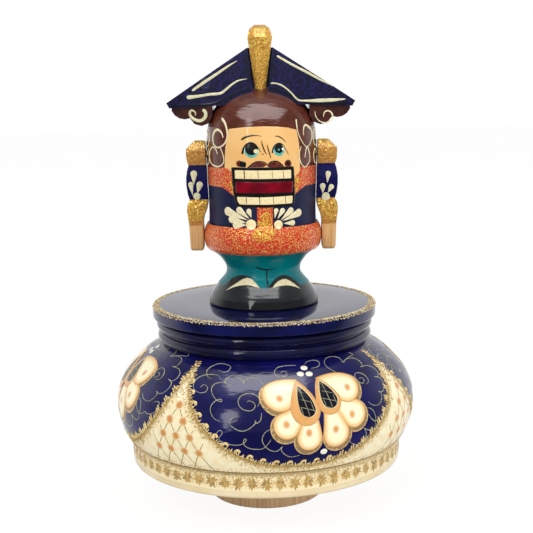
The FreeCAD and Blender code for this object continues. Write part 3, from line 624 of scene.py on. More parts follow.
def soldier_outline():
    """Stretches of the soldier's outline from the soles up, each with its paint."""
    def above(*corners):
        return smooth_line([(radius, platform_top + up) for radius, up in corners], 0.5)
    # The band at the soles takes the darker copy of the boots' black: painted shade.
    sole = above((21.5, 0.0), (22.0, 0.6), (21.7, 2.2), (21.3, 3.3))
    boots = above((21.3, 3.3), (20.7, 4.6), (18.1, 8.2))
    trousers = above((18.1, 8.2), (15.5, 11.2), (14.8, 12.9), (14.8, 14.3), (15.4, 16.1), (17.6, 19.1),
                     (20.5, 21.4))
    belt = above((20.8, 21.5), (21.9, 22.0), (22.8, 23.3), (23.35, 25.8), (23.4, 28.2), (23.0, 30.5),
                 (22.1, 32.4))
    coat = above((21.3, 32.5), (21.2, 36.5), (21.2, 40.0), (21.25, 43.8), (21.35, 47.6))
    collar = above((21.45, 47.8), (21.5, 51.5), (21.55, 54.9))
    hair = above((21.5, 55.1), (21.7, 60.5), (21.6, 64.0), (torso_radius, 67.4))
    turns = [pi / 2 * k / 31 for k in range(1, 31)]
    crown = [(torso_radius * cos(turn), crown_base + crown_height * sin(turn)) for turn in turns]
    return [("sole", [(0, platform_top), *sole]), ("black", boots[1:]), ("teal", trousers[1:]),
            ("red_glitter", belt), ("coat", coat), ("red_glitter", collar),
            ("hair", hair + crown + [(0, crown_base + crown_height)])]


# Box

# Rows of squiggles over the platform's edge, as (how far along it, their size)
squiggle_rows = ((0.4, 0.9), (1.2, 1.0), (2.0, 1.0), (2.8, 0.9))
squiggle_gap = 0.86


def make_turned(outline, name, slot, paints, node, body="casing", closed=False):
    piece = outline.mesh(name, body, slot, paints, closed)
    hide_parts(node)


def make_foot():
    arbor_hole = [(8.0, foot_height), (2.1, foot_height)]
    corners = [(0, 0), *disc_edge(foot_radius, 0, foot_height, 4), *arbor_hole]
    # The foot takes the lighter copy of bare wood: painted light for the shade under the box.
    make_turned(Turned(corners), "foot", "foot_wood", ["foot_wood"] * len(corners), "foot_disc", "stand")


def make_base():
    low, high = box_bottom, seam_height
    edge = (rim_radius - 1.4, low)
    corners = [(board_bore, low), (48.0, low), edge,
               *bend(edge, (rim_radius - 0.38, low + 0.42), (rim_radius, low + rim_round), 6),
               (rim_radius, high - seam_round), (rim_radius - 0.35, high - 0.1),
               (socket_radius, high), (socket_radius, board_top), (board_bore, board_top)]
    paints = ["bare_wood"] + ["cream"] * (len(corners) - 4) + ["bare_wood"] * 3
    make_turned(Turned(corners), "base", "cream_lacquer", paints, "base_cap", closed=True)


def make_bowl():
    outside = bowl_outline()
    beads = [corner for k, radius in enumerate(bead_radii)
             for corner in bead_outline(neck_height + k * (bead_height + bead_gap), radius)]
    inside = [(bead_groove, platform_base), (neck_bore, platform_base), (neck_bore, bore_shoulder),
              (socket_radius, bore_shoulder), (socket_radius, seam_height)]
    paints = (["lace_dark"] + ["navy"] * (len(outside) - 2) + ["deep_navy"] * (len(beads) + 1)
              + ["bare_wood"] * len(inside))
    make_turned(Turned(outside + beads + inside), "box", "blue_lacquer", paints, "bowl", closed=True)


def make_platform():
    corners = [(0, platform_base), *disc_edge(platform_radius, platform_base, platform_top, 5),
               (30.0, platform_top), (0, platform_top)]
    top = Turned(corners)
    make_turned(top, "platform_disc", "navy_lacquer", ["cobalt"] * len(corners), "platform")
    return top


def paint_platform(top):
    """Gold squiggles round the platform's top edge."""
    brushes = Brushes("platform_edge", "casing", "navy_lacquer")
    start = top.along(platform_top - edge_round)
    for depth, size in squiggle_rows:
        count = int(2 * pi * platform_radius / (squiggle_gap * size))
        for k in range(count):
            turn = 2 * pi * (k + vary(-0.3, 0.3)) / count
            along = start + depth + vary(-0.25, 0.25)
            lean = choose((-1, 1)) * vary(0.4, 1.1)

            def put(x, y, lift, turn=turn, along=along):
                return top.place(turn + x / (platform_radius - edge_round), along + y, lift)
            run = 0.5 * size
            ends = [(end * cos(lean), end * sin(lean)) for end in (-run, run)]
            paint = choose(("edge_gold", "edge_pale", "edge_gold", "edge_pale", "lace"))
            brushes[paint].stroke(put, ends, (0.3, 0.46, 0.24), 0.05, 0.07, 0.5)
    brushes.done()


# Ornament on the box: four navy panels with a flower in scrollwork, and cream swags between them

# Panels by the degrees of their middle, their half width, and the power that shapes their border
panels = ((13.2, 47.7, 2.6), (105.0, 44.1, 3.2), (193.2, 44.1, 3.2), (281.4, 44.1, 3.2))
panel_low = 30.3
panel_rise = 31.0
panel_steps = 120
ground_lift = 0.03
sunk_edge = -0.02
# A flower's degrees beside its panel's middle and its height, and a swag's dots' degrees beside its tip
flower_places = ((6.8, 50.0), (6.8, 50.0), (6.8, 50.0), (2.6, 51.6))
swag_lean = 1.3
# Along a panel's border: the rows of its stipple, the gaps between its marks, and the share with hooks
stipple_depths = (0.0, 0.6, 1.2, 1.9, 2.7, 3.5)
tooth_gap = 0.62
needle_gap = 0.22
hook_gap = 5.1
hooked_share = 0.60
stem_foot = 58.6
trellis_top = 50.7
# The rim's blossoms, and its stipple in rows of (height, fade)
blossom_height = 22.2
blossom_count = 66
blossom_petals = 11
stipple_rows = ((19.3, 1.1), (20.4, 0.85), (21.5, 0.7), (24.0, 0.66), (25.6, 0.5))

# The flower and the scrolls round it, in millimetres to the right of the flower's place and up the surface.
# A petal is its tip, the centre of its round end, and its radius.
big_petals = (((-5.6, 12.7), (-14.3, 6.0), 6.2), ((1.5, 12.6), (12.6, 6.8), 6.2))
small_petals = (((-2.0, 4.5), (-13.1, -4.9), 5.2), ((2.5, 5.5), (13.8, -3.3), 5.6),
                ((-3.0, 8.0), (-4.9, -9.8), 5.1), ((2.4, 8.0), (5.6, -9.3), 5.7))
dark_drops = (((-6.1, 9.9), (-4.6, 0.6), 2.9), ((2.6, 10.8), (4.5, 3.0), 3.1))
gold_drops = (((-5.9, 12.4), (-5.1, -0.5), 5.5), ((1.9, 12.6), (4.5, 1.9), 4.9))
petal_dots = ((-14.0, 5.2), (13.2, 6.6), (-13.2, -4.3), (12.6, -3.5), (-5.2, -7.8), (5.2, -7.7))
berries = ((-1.1, 17.8), (-3.4, 15.1), (-0.1, 14.7), (0.7, -15.8))

scrolls = (
    ((-33.5, 17.0), (-31.9, 16.2), (-29.6, 17.1), (-28.2, 19.4), (-31.5, 20.5), (-35.6, 18.8), (-38.5, 16.2),
     (-38.7, 13.6), (-37.3, 12.6)),
    ((-42.9, 8.7), (-40.9, 10.0), (-39.8, 9.0), (-40.7, 7.3), (-43.1, 6.5), (-45.3, 7.2), (-45.8, 9.0),
     (-44.0, 11.8), (-40.5, 13.9), (-36.6, 14.8), (-34.1, 14.5), (-33.8, 12.9)),
    ((-18.3, 10.4), (-19.2, 13.5), (-22.4, 14.1), (-25.0, 12.6), (-25.4, 11.2), (-25.6, 13.4), (-28.5, 14.9),
     (-31.2, 13.5), (-32.4, 11.5), (-31.0, 10.1), (-30.4, 10.7), (-31.6, 11.5), (-34.1, 11.6), (-37.2, 10.2),
     (-38.5, 7.4), (-37.3, 4.4), (-35.2, 3.9), (-35.2, 4.7), (-37.3, 4.2), (-39.6, 2.2), (-40.3, -0.1),
     (-39.3, -2.4), (-37.0, -3.4)),
    ((-26.0, 4.0), (-25.1, 4.6), (-23.6, 4.0), (-23.2, 2.6), (-24.6, 1.1), (-26.6, 0.9), (-28.5, 1.8),
     (-29.2, 3.8), (-28.2, 5.8), (-26.1, 7.2), (-23.6, 7.4), (-21.6, 6.4), (-21.2, 4.4), (-22.5, 2.3)),
    ((-31.7, -1.6), (-33.4, -2.8), (-33.2, -4.6), (-30.6, -6.2), (-28.1, -6.2), (-25.7, -4.9), (-23.9, -3.2),
     (-24.2, -2.6), (-24.0, -3.6), (-22.3, -2.6), (-21.4, 0.2)),
    ((-38.8, -9.5), (-38.9, -7.8), (-37.4, -6.5), (-36.6, -7.4), (-38.0, -9.8), (-35.4, -11.2),
     (-32.1, -11.7), (-29.2, -11.1), (-27.8, -9.4), (-28.6, -9.2), (-28.9, -10.9), (-27.6, -12.4),
     (-24.7, -13.1), (-21.5, -12.6), (-19.0, -9.4)),
    ((-18.9, -5.7), (-21.1, -6.9), (-22.2, -9.2), (-21.5, -11.5), (-19.4, -13.5), (-16.8, -14.0),
     (-14.9, -12.2), (-15.4, -13.4), (-14.0, -15.4), (-11.6, -16.7), (-8.4, -16.2)),
    ((-10.7, 16.0), (-9.1, 17.0), (-8.3, 15.6), (-9.5, 14.4), (-11.8, 14.6), (-12.8, 16.3), (-10.8, 18.9),
     (-7.2, 19.7), (-3.6, 19.4)),
    ((-0.2, 19.7), (1.4, 20.9), (4.4, 21.1), (5.8, 19.6), (4.6, 17.7), (1.4, 17.2)),
    ((10.9, 13.7), (8.3, 16.4), (7.9, 19.2), (9.5, 21.1), (12.6, 21.4), (15.4, 19.9), (16.2, 17.4),
     (18.2, 18.5), (21.7, 18.3), (24.3, 16.5), (25.2, 13.9), (23.7, 13.4), (27.7, 13.0), (30.8, 11.1),
     (32.0, 8.8), (31.1, 7.3), (28.6, 7.8), (31.7, 6.6), (32.8, 4.2), (31.8, 1.9), (29.9, 1.3), (28.2, 2.0),
     (29.6, 0.7), (28.7, -1.4), (26.7, -2.7), (23.6, -2.3), (21.2, -0.5)),
    ((20.0, 8.9), (21.6, 9.0), (22.5, 7.8), (21.4, 6.7), (19.8, 7.4), (18.5, 9.8), (19.6, 11.4), (22.3, 10.8),
     (24.4, 8.6), (24.4, 6.6), (22.4, 6.0)),
    ((16.3, 17.8), (20.1, 19.2), (23.3, 19.8), (21.5, 21.3)),
    ((20.2, -2.5), (22.6, -3.6), (23.9, -5.9), (23.9, -8.2), (21.8, -6.9), (20.3, -4.6)),
    ((23.9, -8.3), (26.3, -7.5), (27.4, -6.6), (28.5, -7.1), (31.4, -6.7), (33.3, -5.2), (33.7, -2.9),
     (32.3, -1.6), (30.1, -2.4)),
    ((23.9, -8.3), (23.9, -10.0), (22.2, -11.1), (19.8, -10.7), (18.0, -9.8), (19.0, -11.7), (18.3, -14.1),
     (15.8, -15.4), (13.3, -15.2), (11.1, -13.3)),
)


def panel_edge(panel):
    """The lower border of a navy panel, from one swag's tip to the next, as (degrees, height)."""
    middle, half, shape = panel
    shares = [2 * k / panel_steps - 1 for k in range(panel_steps + 1)]
    return [(middle + half * share, panel_low + panel_rise * abs(share) ** shape) for share in shares]


def paint_cream(bowl, brushes):
    """The cream ground: a band round the foot of the bowl, and a swag between each two panels."""
    rows = []
    for k in range(6):
        along = bowl.along(seam_height + 0.1 + (panel_low - seam_height - 0.1) * k / 5)
        rows.append([bowl.place(2 * pi * j / 360, along, ground_lift) for j in range(360)])
    brushes["swag"].sheet(rows, [0.0] * len(rows), closed=True)
    for left, right in zip(panels, panels[1:] + panels[:1]):
        rows = []
        for k in range(81):
            rise = (k / 80) ** left[2]
            along = bowl.along(panel_low + panel_rise * rise)
            start = left[0] + left[1] * rise ** (1 / left[2])
            end = right[0] - right[1] * rise ** (1 / right[2])
            if end < start - 1:
                end += 360
            rows.append([bowl.place(radians(start + (end - start) * j / 64), along,
                                    ground_lift if 0 < j < 64 else sunk_edge) for j in range(65)])
        brushes["swag"].sheet(rows, [0.0] * len(rows))


class Border:
    """The border of a panel, with maps for paint beside it at a length along it."""

    def __init__(self, bowl, panel):
        self.bowl, self.edge = bowl, panel_edge(panel)
        self.lengths = [0.0]
        for (turn, height), (next_turn, next_height) in zip(self.edge, self.edge[1:]):
            across = radians(next_turn - turn) * bowl_surface((height + next_height) / 2)
            up = bowl.along(next_height) - bowl.along(height)
            self.lengths.append(self.lengths[-1] + hypot(across, up))
        self.total = self.lengths[-1]

    def beside(self, length):
        k = min(bisect.bisect_right(self.lengths, length) - 1, len(self.edge) - 2)
        rest = (length - self.lengths[k]) / (self.lengths[k + 1] - self.lengths[k])
        return self.bowl.beside(self.edge, (k + rest) / (len(self.edge) - 1))


def paint_stipple(border, brushes):
    """Gold stipple on the cream side, which thins out away from the border and at its ends."""
    rows = [[] for _ in stipple_depths]
    for k in range(141):
        put = border.beside(border.total * k / 140)
        narrow = min(1.0, min(k, 140 - k) / 22)
        for row, deep in zip(rows, stipple_depths):
            row.append(put(0, -deep * max(narrow, 0.12), 0.055))
    fades = [deep / stipple_depths[-1] for deep in stipple_depths]
    brushes["stipple"].sheet(rows[::-1], fades[::-1])


def paint_teeth(border, brushes):
    """Dabs that point into the navy, each with a dark dab at its root."""
    count = int(border.total / tooth_gap)
    for k in range(count):
        put = border.beside(border.total * (k + vary(0.2, 0.8)) / count)
        lean = pi / 2 + vary(-0.7, 0.5)
        size = vary(1.0, 1.8)
        end = (size * cos(lean), -0.4 + size * sin(lean))
        paint = choose(("lace", "lace_pale", "lace_pale"))
        brushes[paint].stroke(put, [(0, -0.5), end], (0.42, 0.46, 0.16), 0.08, 0.09, 0.5)
        brushes["lace_dark"].stroke(put, [(0.3, -0.9), (0.45, 0.1)], (0.2, 0.34, 0.2), 0.07, 0.06, 0.5)


def paint_needles(border, brushes):
    """Fine dashes that thin out over the cream."""
    for _ in range(int(border.total / needle_gap)):
        put = border.beside(border.total * chance.random())
        start = (0, -0.2 - 2.8 * chance.random() ** 1.7)
        lean = -pi / 2 + vary(-0.8, 0.8)
        size = vary(0.6, 1.3)
        end = (size * cos(lean), start[1] + size * sin(lean))
        paint = choose(("lace", "lace_dark", "sprig", "sprig"))
        brushes[paint].stroke(put, [start, end], (0.2, 0.34, 0.14), 0.065, 0.06, 0.5)


def paint_hooks(border, brushes):
    """Hooks along the border, and pairs of dashes where it rises to its end."""
    count = round(border.total / hook_gap)
    for k in range(1, count):
        share = k / count
        put = border.beside(border.total * share)
        if share < hooked_share:
            hook = [(-0.6, 0.0), (-0.5, 0.9), (0.1, 1.5), (0.9, 1.35), (0.9, 0.8)]
            brushes["hook"].stroke(put, hook, (0.6, 0.8, 1.1, 1.2, 0.6), 0.09, 0.12, 0.25)
        else:
            for x, height in ((-0.5, 2.0), (0.5, 2.3)):
                brushes["hook"].stroke(put, [(x, 0.0), (x + 0.6, height)], (0.5, 0.7, 0.5), 0.09, 0.1, 0.4)


def paint_stem(bowl, brushes, turn):
    """Leafy gold stem that rises from a swag's tip to the neck."""
    put = bowl.spot(turn, stem_foot)
    for k in range(10):
        up = 0.95 * k
        sway = 0.35 * sin(1.9 * k)
        reach = 1.7 - 0.04 * k
        for side in (-1, 1):
            tip = (sway + side * reach, up + vary(0.2, 0.8))
            paint = choose(("lace", "lace_pale"))
            brushes[paint].stroke(put, [(sway, up), tip], (0.4, 0.8, 0.4), 0.08, 0.12, 0.4)
    stem = ((0, -1.0), (0.3, 3.0), (-0.2, 6.0), (0.1, 9.2))
    brushes["lace_dark"].stroke(put, stem, (0.5, 0.5, 0.3), 0.05, 0.08)


def paint_trellis(bowl, brushes, turn):
    """Rows of orange dots joined by thin diamonds."""
    put = bowl.spot(turn + swag_lean, trellis_top)
    across, up, rows = 6.1, 5.7, 4

    def line(start, end, tip_width):
        brushes["net"].stroke(put, [start, end], (0.6, 0.5, tip_width), 0.045, 0.03, 0.9)
    for row in range(rows):
        for k in range(row + 1):
            x, y = (k - row / 2) * across, -row * up
            brushes["swag_dot"].dot(put, (x, y), 1.95, 0.05, 5, 0.06, 20)
            drop = 1.0 if row < rows - 1 else 1.55
            for side in (-0.5, 0.5):
                line((x, y), (x + side * across * drop, y - up * drop), 0.6)
    for side in (-1, 1):
        for row, right, rise in ((3, 2.4, 4.4), (2, 1.6, 3.2)):
            x, y = side * row / 2 * across, -row * up
            line((x, y), (x + side * right, y + rise), 0.4)


def paint_sprigs(bowl, brushes, panel):
    """Pale dabs scattered over the cream near the border."""
    for turn, height in panel_edge(panel)[8:-8:4]:
        put = bowl.spot(turn, height)
        if 30.6 < height < 54:
            x, y = vary(-0.6, 0.6), -vary(3.2, 4.8)
            for k in range(9):
                lean = vary(0, 6.28)
                start = (x + vary(-1.1, 1.1), y + vary(-0.7, 0.7))
                end = (start[0] + 0.7 * cos(lean), start[1] + 0.7 * sin(lean))
                paint = choose(("sprig", "lace"))
                brushes[paint].stroke(put, [start, end], (0.2, 0.42, 0.16), 0.05, 0.04, 0.5)


def inside_drop(spot, tip, centre, radius):
    """Whether a spot lies in a teardrop: its round end, or the straight part that narrows to the tip."""
    if dist(spot, centre) < radius:
        return True
    axis = Vector(centre) - Vector(tip)
    along = (Vector(spot) - Vector(tip)).dot(axis) / axis.length_squared
    off = abs((Vector(spot) - Vector(tip)).cross(axis)) / axis.length
    return 0 < along < 1 and off < radius * along * 0.96


def paint_flower(put, brushes):
    """Six cream petals with orange dots, and two dark drops with a gold net."""
    petals = [(petal, 0.0, 0.0) for petal in small_petals] + [(petal, 0.05, 0.5) for petal in big_petals]
    for (tip, (x, y), radius), level, bulge in petals:
        under = (x + copysign(0.5, x), y - 1.0)
        outline = teardrop(tip, under, radius + 0.35, bulge=bulge)
        brushes["petal_shadow"].patch(put, outline, 0.05 + level, 12, 0.02, under)
    for (tip, centre, radius), level, bulge in petals:
        outline = teardrop(tip, centre, radius - 0.35, bulge=bulge)
        brushes["petal"].patch(put, outline, 0.11 + level, 16, 0.05, centre)
    for centre in petal_dots:
        brushes["dot"].patch(put, circle(centre, 1.7, 20, 1.15), 0.20, 6, 0.04)
    for tip, (x, y), radius in gold_drops:
        outline = teardrop(tip, (x - 0.35, y + 0.6), radius, bulge=0.25)
        brushes["crescent"].patch(put, outline, 0.22, 8, 0.06, (x, y))
    for drop in dark_drops:
        paint_dark_drop(put, brushes, drop)
    for centre in berries:
        brushes["white"].patch(put, circle(centre, 1.35, 16, 0.85), 0.06, 3, 0.16)


def paint_dark_drop(put, brushes, drop):
    """A dark drop with a pale edge and a gold net."""
    (tip_x, tip_y), (x, y), radius = drop
    outline = teardrop((tip_x, tip_y + 0.6), (x, y), radius + 0.3, bulge=0.3)
    brushes["ivory"].patch(put, outline, 0.27, 6, 0.05, (x, y))
    brushes["night"].patch(put, teardrop(*drop, bulge=0.3), 0.33, 6, 0.05, (x, y))
    steps = [0.25 * j for j in range(-40, 41)]
    upright = [[(x + (k - 1.2) * 2.2 + 0.3 - 0.18 * t, y + t) for t in steps] for k in range(-4, 7)]
    level = [[(x + t, y + (k - 1) * 3.0 - 0.35 * t) for t in steps] for k in range(-4, 7)]
    for line in upright + level:
        line = [spot for spot in line if inside_drop(spot, *drop)]
        if len(line) > 3:
            brushes["scroll"].stroke(put, line[::2], (0.18, 0.25, 0.16), 0.40, 0.04, 0.8)


def paint_bowl():
    bowl = Turned(bowl_outline())
    brushes = Brushes("box_paint", "casing", "blue_lacquer")
    paint_cream(bowl, brushes)
    for panel, (flower_turn, flower_height) in zip(panels, flower_places):
        border = Border(bowl, panel)
        for paint_marks in (paint_stipple, paint_teeth, paint_needles, paint_hooks):
            paint_marks(border, brushes)
        paint_sprigs(bowl, brushes, panel)
        paint_stem(bowl, brushes, panel[0] + panel[1])
        paint_trellis(bowl, brushes, panel[0] + panel[1])
        flower = bowl.spot(panel[0] + flower_turn, flower_height)
        for scroll in scrolls:
            brushes["scroll"].stroke(flower, scroll, (0.22, 0.30, 0.28, 0.32, 0.2), 0.045, 0.06, 0.6)
        paint_flower(flower, brushes)
    paint_seam(bowl, brushes)
    brushes.done()


def scatter(brushes, put, wide, low, high, count):
    """Short dashes strewn over an area."""
    for _ in range(count):
        x, y = vary(-wide, wide), vary(low, high)
        lean = vary(0, pi)
        line = [(x, y), (x + 0.7 * cos(lean), y + 0.5 * sin(lean))]
        paint = choose(("lace", "sprig", "lace_dark", "sprig"))
        brushes[paint].stroke(put, line, (0.24, 0.42, 0.2), 0.06, 0.07, 0.5)


def paint_seam(bowl, brushes):
    """Stippled gold line round the foot of the bowl."""
    for k in range(180):
        put = bowl.spot(360 * k / 180, seam_height + 0.7)
        line = [(x, vary(-0.4, 0.0)) for x in (-1.3, 1.3)]
        brushes["lace_dark"].stroke(put, line, (0.7, 1.3, 0.7), 0.06, 0.06, 0.6)
        scatter(brushes, put, 1.1, -0.2, 2.2, 8)


def paint_rim():
    """A stippled band round the rim with a row of gold blossoms, and short pale dashes over them."""
    rim = Turned([(rim_radius, box_bottom + rim_round), (rim_radius, seam_height - seam_round)])
    brushes = Brushes("rim_paint", "casing", "cream_lacquer")
    rows = [[rim.place(2 * pi * k / 360, rim.along(height), 0.04) for k in range(360)]
            for height, _ in stipple_rows]
    brushes["stipple"].sheet(rows, [fade for _, fade in stipple_rows], closed=True)
    for k in range(blossom_count):
        put = rim.spot(360 * k / blossom_count, blossom_height)
        start = vary(-0.3, 0.3)
        for j in range(blossom_petals):
            lean = start + 2 * pi / blossom_petals * (j + vary(-0.3, 0.3))
            long = vary(1.8, 3.0)
            line = [(0.2 * cos(lean), 0.2 * sin(lean)), (long * 0.92 * cos(lean), long * sin(lean))]
            paint = choose(("blossom", "blossom", "blossom_dark"))
            brushes[paint].stroke(put, line, (0.8, 1.05, 0.5), 0.06, 0.08, 0.45)
        pale = brushes["lace_pale"]
        for x in (2.1, 2.9):
            low = vary(-2.2, -1.2)
            pale.stroke(put, [(x, low), (x + 0.2, low + 3.2)], (0.3, 0.6, 0.3), 0.06, 0.07, 0.5)
        for j in range(6):
            x = (j - 2.5) * 0.85 + vary(-0.2, 0.2)
            pale.stroke(put, [(x, 2.3), (x + vary(-0.2, 0.2), 3.3)], (0.3, 0.42, 0.2), 0.07, 0.08, 0.4)
        scatter(brushes, put, 2.4, 2.0, 3.3, 12)
    brushes.done()


# Soldier: what is painted on the turned body, as (millimetres round the body, height)

face_outline = ((-13.1, 149.4), (-14.1, 145.2), (-14.8, 142.4), (-15.2, 138.6), (-15.4, 134.6),
                (-13.8, 134.3), (-12.6, 133.3), (-11.7, 131.5), (-11.4, 129.0), (0.0, 128.0), (12.7, 128.8),
                (13.8, 131.0), (16.1, 133.0), (16.1, 136.5), (16.0, 140.5), (15.6, 144.0), (14.5, 148.7),
                (10.5, 149.6), (6.0, 150.1), (0.5, 150.3), (-4.0, 150.2), (-9.0, 149.8))
mouth_frame = ((-12.2, 135.0), (-11.9, 129.9), (-11.5, 125.6), (-11.0, 122.2), (-9.9, 120.1),
               (1.8, 119.6), (12.9, 120.1), (13.4, 123.9), (13.3, 129.9), (12.9, 135.0))
upper_teeth = ((-10.6, 130.7), (11.7, 130.5), (11.6, 133.7), (-10.6, 133.9))
lower_teeth = ((-8.9, 120.9), (1.8, 120.8), (12.0, 120.9), (12.3, 123.8), (-1.0, 123.6), (-9.9, 123.8),
               (-9.7, 122.2))
mouth_inside = ((-10.3, 125.3), (12.2, 125.1), (12.3, 129.3), (-10.3, 129.5))
tooth_lines = ((-6.75, 133.9, 130.6, 0.5), (-1.45, 133.8, 130.8, 0.3), (3.9, 133.6, 130.7, 0.24),
               (8.3, 133.5, 130.6, 0.3), (-6.1, 123.8, 121.0, 0.3), (-1.0, 123.8, 120.9, 0.42),
               (4.2, 123.8, 120.8, 0.3), (9.05, 123.8, 120.8, 0.3))

# Boots, with heights above the platform: the black toes, and a cream crescent on each as two lines
toes = (((-20.4, 7.6), (-17.6, 9.3), (-15.2, 10.7), (-11.8, 12.2), (-8.5, 12.9), (-5.8, 12.5), (-4.1, 11.3),
         (-2.6, 9.7), (-1.0, 8.5)),
        ((1.6, 8.6), (2.7, 9.7), (4.5, 11.4), (6.8, 12.5), (8.9, 12.6), (11.4, 11.8), (13.6, 10.4),
         (16.4, 8.7), (18.6, 7.8)))
toe_foot = 7.4
crescents = ((((-16.7, 6.7), (-14.1, 8.3), (-11.4, 9.7), (-8.7, 11.2), (-6.6, 11.9), (-4.7, 11.5),
               (-3.0, 10.1), (-1.2, 8.2)),
              ((-16.7, 6.7), (-12.7, 8.2), (-9.8, 9.0), (-7.1, 9.3), (-5.4, 9.25), (-4.5, 9.1),
               (-2.7, 8.7), (-1.2, 8.2))),
             (((3.1, 8.1), (4.3, 9.4), (5.6, 10.4), (7.3, 11.0), (9.2, 11.0), (11.4, 10.1), (13.5, 8.8),
               (16.3, 6.9)),
              ((3.1, 8.1), (4.3, 8.5), (5.8, 8.8), (7.7, 8.9), (9.4, 8.85), (11.4, 8.5), (13.4, 8.0),
               (16.3, 6.9))))


def paint_boots(put, brushes):
    def above(points):
        return [(x, platform_top + up) for x, up in points]
    for toe in toes:
        top = smooth_line(above(toe), 0.8)
        rows = [[put(x, platform_top + toe_foot + (z - platform_top - toe_foot) * k / 6,
                     0.05 if k < 6 else sunk_edge) for x, z in top] for k in range(7)]
        brushes["black"].sheet(rows, [0.0] * 7)
    for lines in crescents:
        high, low = ([[between(values, k / 24) for values in zip(*above(line))] for k in range(25)]
                     for line in lines)
        rows = [[put(x + (upper_x - x) * j / 4, z + (upper_z - z) * j / 4, 0.06 + 0.10 * sin(pi * j / 4))
                 for (x, z), (upper_x, upper_z) in zip(low, high)] for j in range(5)]
        brushes["cream_line"].sheet(rows, [0.0] * 5)
    fork = above([(-3.1, 16.4), (-0.9, 15.5), (1.3, 15.1), (3.4, 15.2), (5.2, 15.8)])
    fly = above([(1.3, 15.0), (1.25, 12.6), (1.45, 10.6), (1.8, 8.8)])
    brushes["line_black"].stroke(put, fork, (0.55, 0.75, 0.6, 0.3, 0.15))
    brushes["line_black"].stroke(put, fly, (0.55, 0.5, 0.6))


def paint_face(put, brushes):
    brushes["face"].patch(put, refined(face_outline, 0.8), 0.05, 14, 0.0, (0.5, 140.0))
    black = brushes["line_black"]
    for paint, corners, rounding, lift, rings, dome, centre in (
            ("line_black", mouth_frame, 0.6, 0.115, 10, 0.0, (0.8, 127.4)),
            ("ivory", upper_teeth, 0.4, 0.15, 4, 0.08, None),
            ("ivory", lower_teeth, 0.5, 0.15, 4, 0.08, None),
            ("mouth", mouth_inside, 0.3, 0.15, 5, 0.05, None)):
        brushes[paint].patch(put, refined(rounded(corners, rounding), 0.8), lift, rings, dome, centre)
    for x, top, low, width in tooth_lines:
        black.stroke(put, [(x, top), (x + 0.15, low)], (width, width * 0.8, width), 0.20, 0.08)
    paint_eyes(put, brushes)
    brown = brushes["moustache"]
    for half in (((-5.3, 135.0), (-4.0, 135.9), (-2.4, 136.8), (-0.4, 137.0), (1.0, 136.7), (2.0, 135.9),
                  (0.7, 135.1)),
                 ((2.0, 135.5), (3.4, 136.7), (5.2, 137.0), (6.8, 136.4), (8.7, 134.9), (5.3, 134.8),
                  (3.0, 134.9))):
        brown.patch(put, refined(half, 0.5), 0.09, 4, 0.10)
    for line in (((-5.4, 134.9), (-3.8, 136.1), (-2.2, 137.0), (-0.4, 137.2), (1.1, 136.9), (2.1, 136.0)),
                 ((2.0, 135.7), (3.4, 136.9), (5.2, 137.2), (6.9, 136.6), (8.8, 134.9)),
                 ((-2.6, 135.9), (-0.8, 136.1), (1.0, 135.9))):
        black.stroke(put, line, (0.25, 0.5, 0.55, 0.4, 0.3), 0.14, 0.08)
    left_end = rounded([(-9.0, 135.2), (-5.9, 135.0), (-5.9, 137.2), (-9.0, 137.5)], 0.9)
    black.patch(put, left_end, 0.09, 3, 0.1)
    brown.dot(put, (-8.7, 136.4), 1.25, 0.08)
    brown.dot(put, (10.4, 136.1), 1.5, 0.09)
    black.dot(put, (10.3, 136.2), 0.75, 0.16, 3, 0.05)


def paint_eyes(put, brushes):
    for x, y, wide, pupil in ((-3.75, 141.5, 2.9, 2.4), (6.75, 141.4, 2.3, 1.75)):
        brushes["white"].patch(put, circle((x, y), wide, 26, 0.95), 0.09, 4, 0.02)
        brushes["iris"].patch(put, circle((x, y - 0.15), wide * 0.93, 26), 0.11, 4, 0.03)
        brushes["line_black"].patch(put, circle((x, y + 0.5), pupil, 26), 0.15, 4, 0.04)
    for paint, glint, rings, dome in (
            ("ivory", circle((-2.1, 141.1), 0.85, 14, 0.9), 3, 0.06),
            ("white", circle((8.2, 141.7), 0.42, 12, 1.3), 3, 0.06),
            ("iris", circle((6.6, 141.5), 0.30, 10, 1.5), 2, 0.04)):
        brushes[paint].patch(put, glint, 0.20, rings, dome)
    for paint, lift, widths, line in (
            ("line_black", 0.16, (1.0, 0.75, 0.55, 0.6, 0.5, 0.35, 0.2),
             ((-7.3, 140.0), (-7.0, 141.6), (-6.2, 143.1), (-4.9, 144.1), (-3.6, 144.3), (-2.2, 143.6),
              (-1.1, 142.2), (-0.2, 140.7))),
            ("line_black", 0.16, (0.6, 0.55, 0.5, 0.5, 0.3, 0.2, 0.15),
             ((4.1, 140.2), (4.4, 141.8), (5.3, 143.3), (6.8, 143.9), (8.3, 143.2), (9.4, 141.6),
              (10.6, 139.5))),
            ("line_black", 0.08, (0.9, 0.85, 0.7, 0.45, 0.15),
             ((-7.7, 145.3), (-6.1, 146.3), (-3.7, 146.9), (-1.4, 146.9), (0.3, 146.6))),
            ("line_brown", 0.08, (0.25, 0.6, 0.5, 0.2),
             ((5.0, 146.5), (6.4, 146.5), (8.1, 145.6), (9.7, 144.1))),
            ("line_brown", 0.08, (0.2, 0.55, 0.65, 0.3),
             ((0.0, 145.2), (0.5, 143.2), (1.2, 141.2), (1.8, 140.1), (2.3, 140.1))),
            ("line_brown", 0.08, (0.2, 0.6, 0.55, 0.25),
             ((2.2, 143.6), (2.6, 141.6), (3.1, 140.0), (3.6, 138.3)))):
        brushes[paint].stroke(put, line, widths, lift)


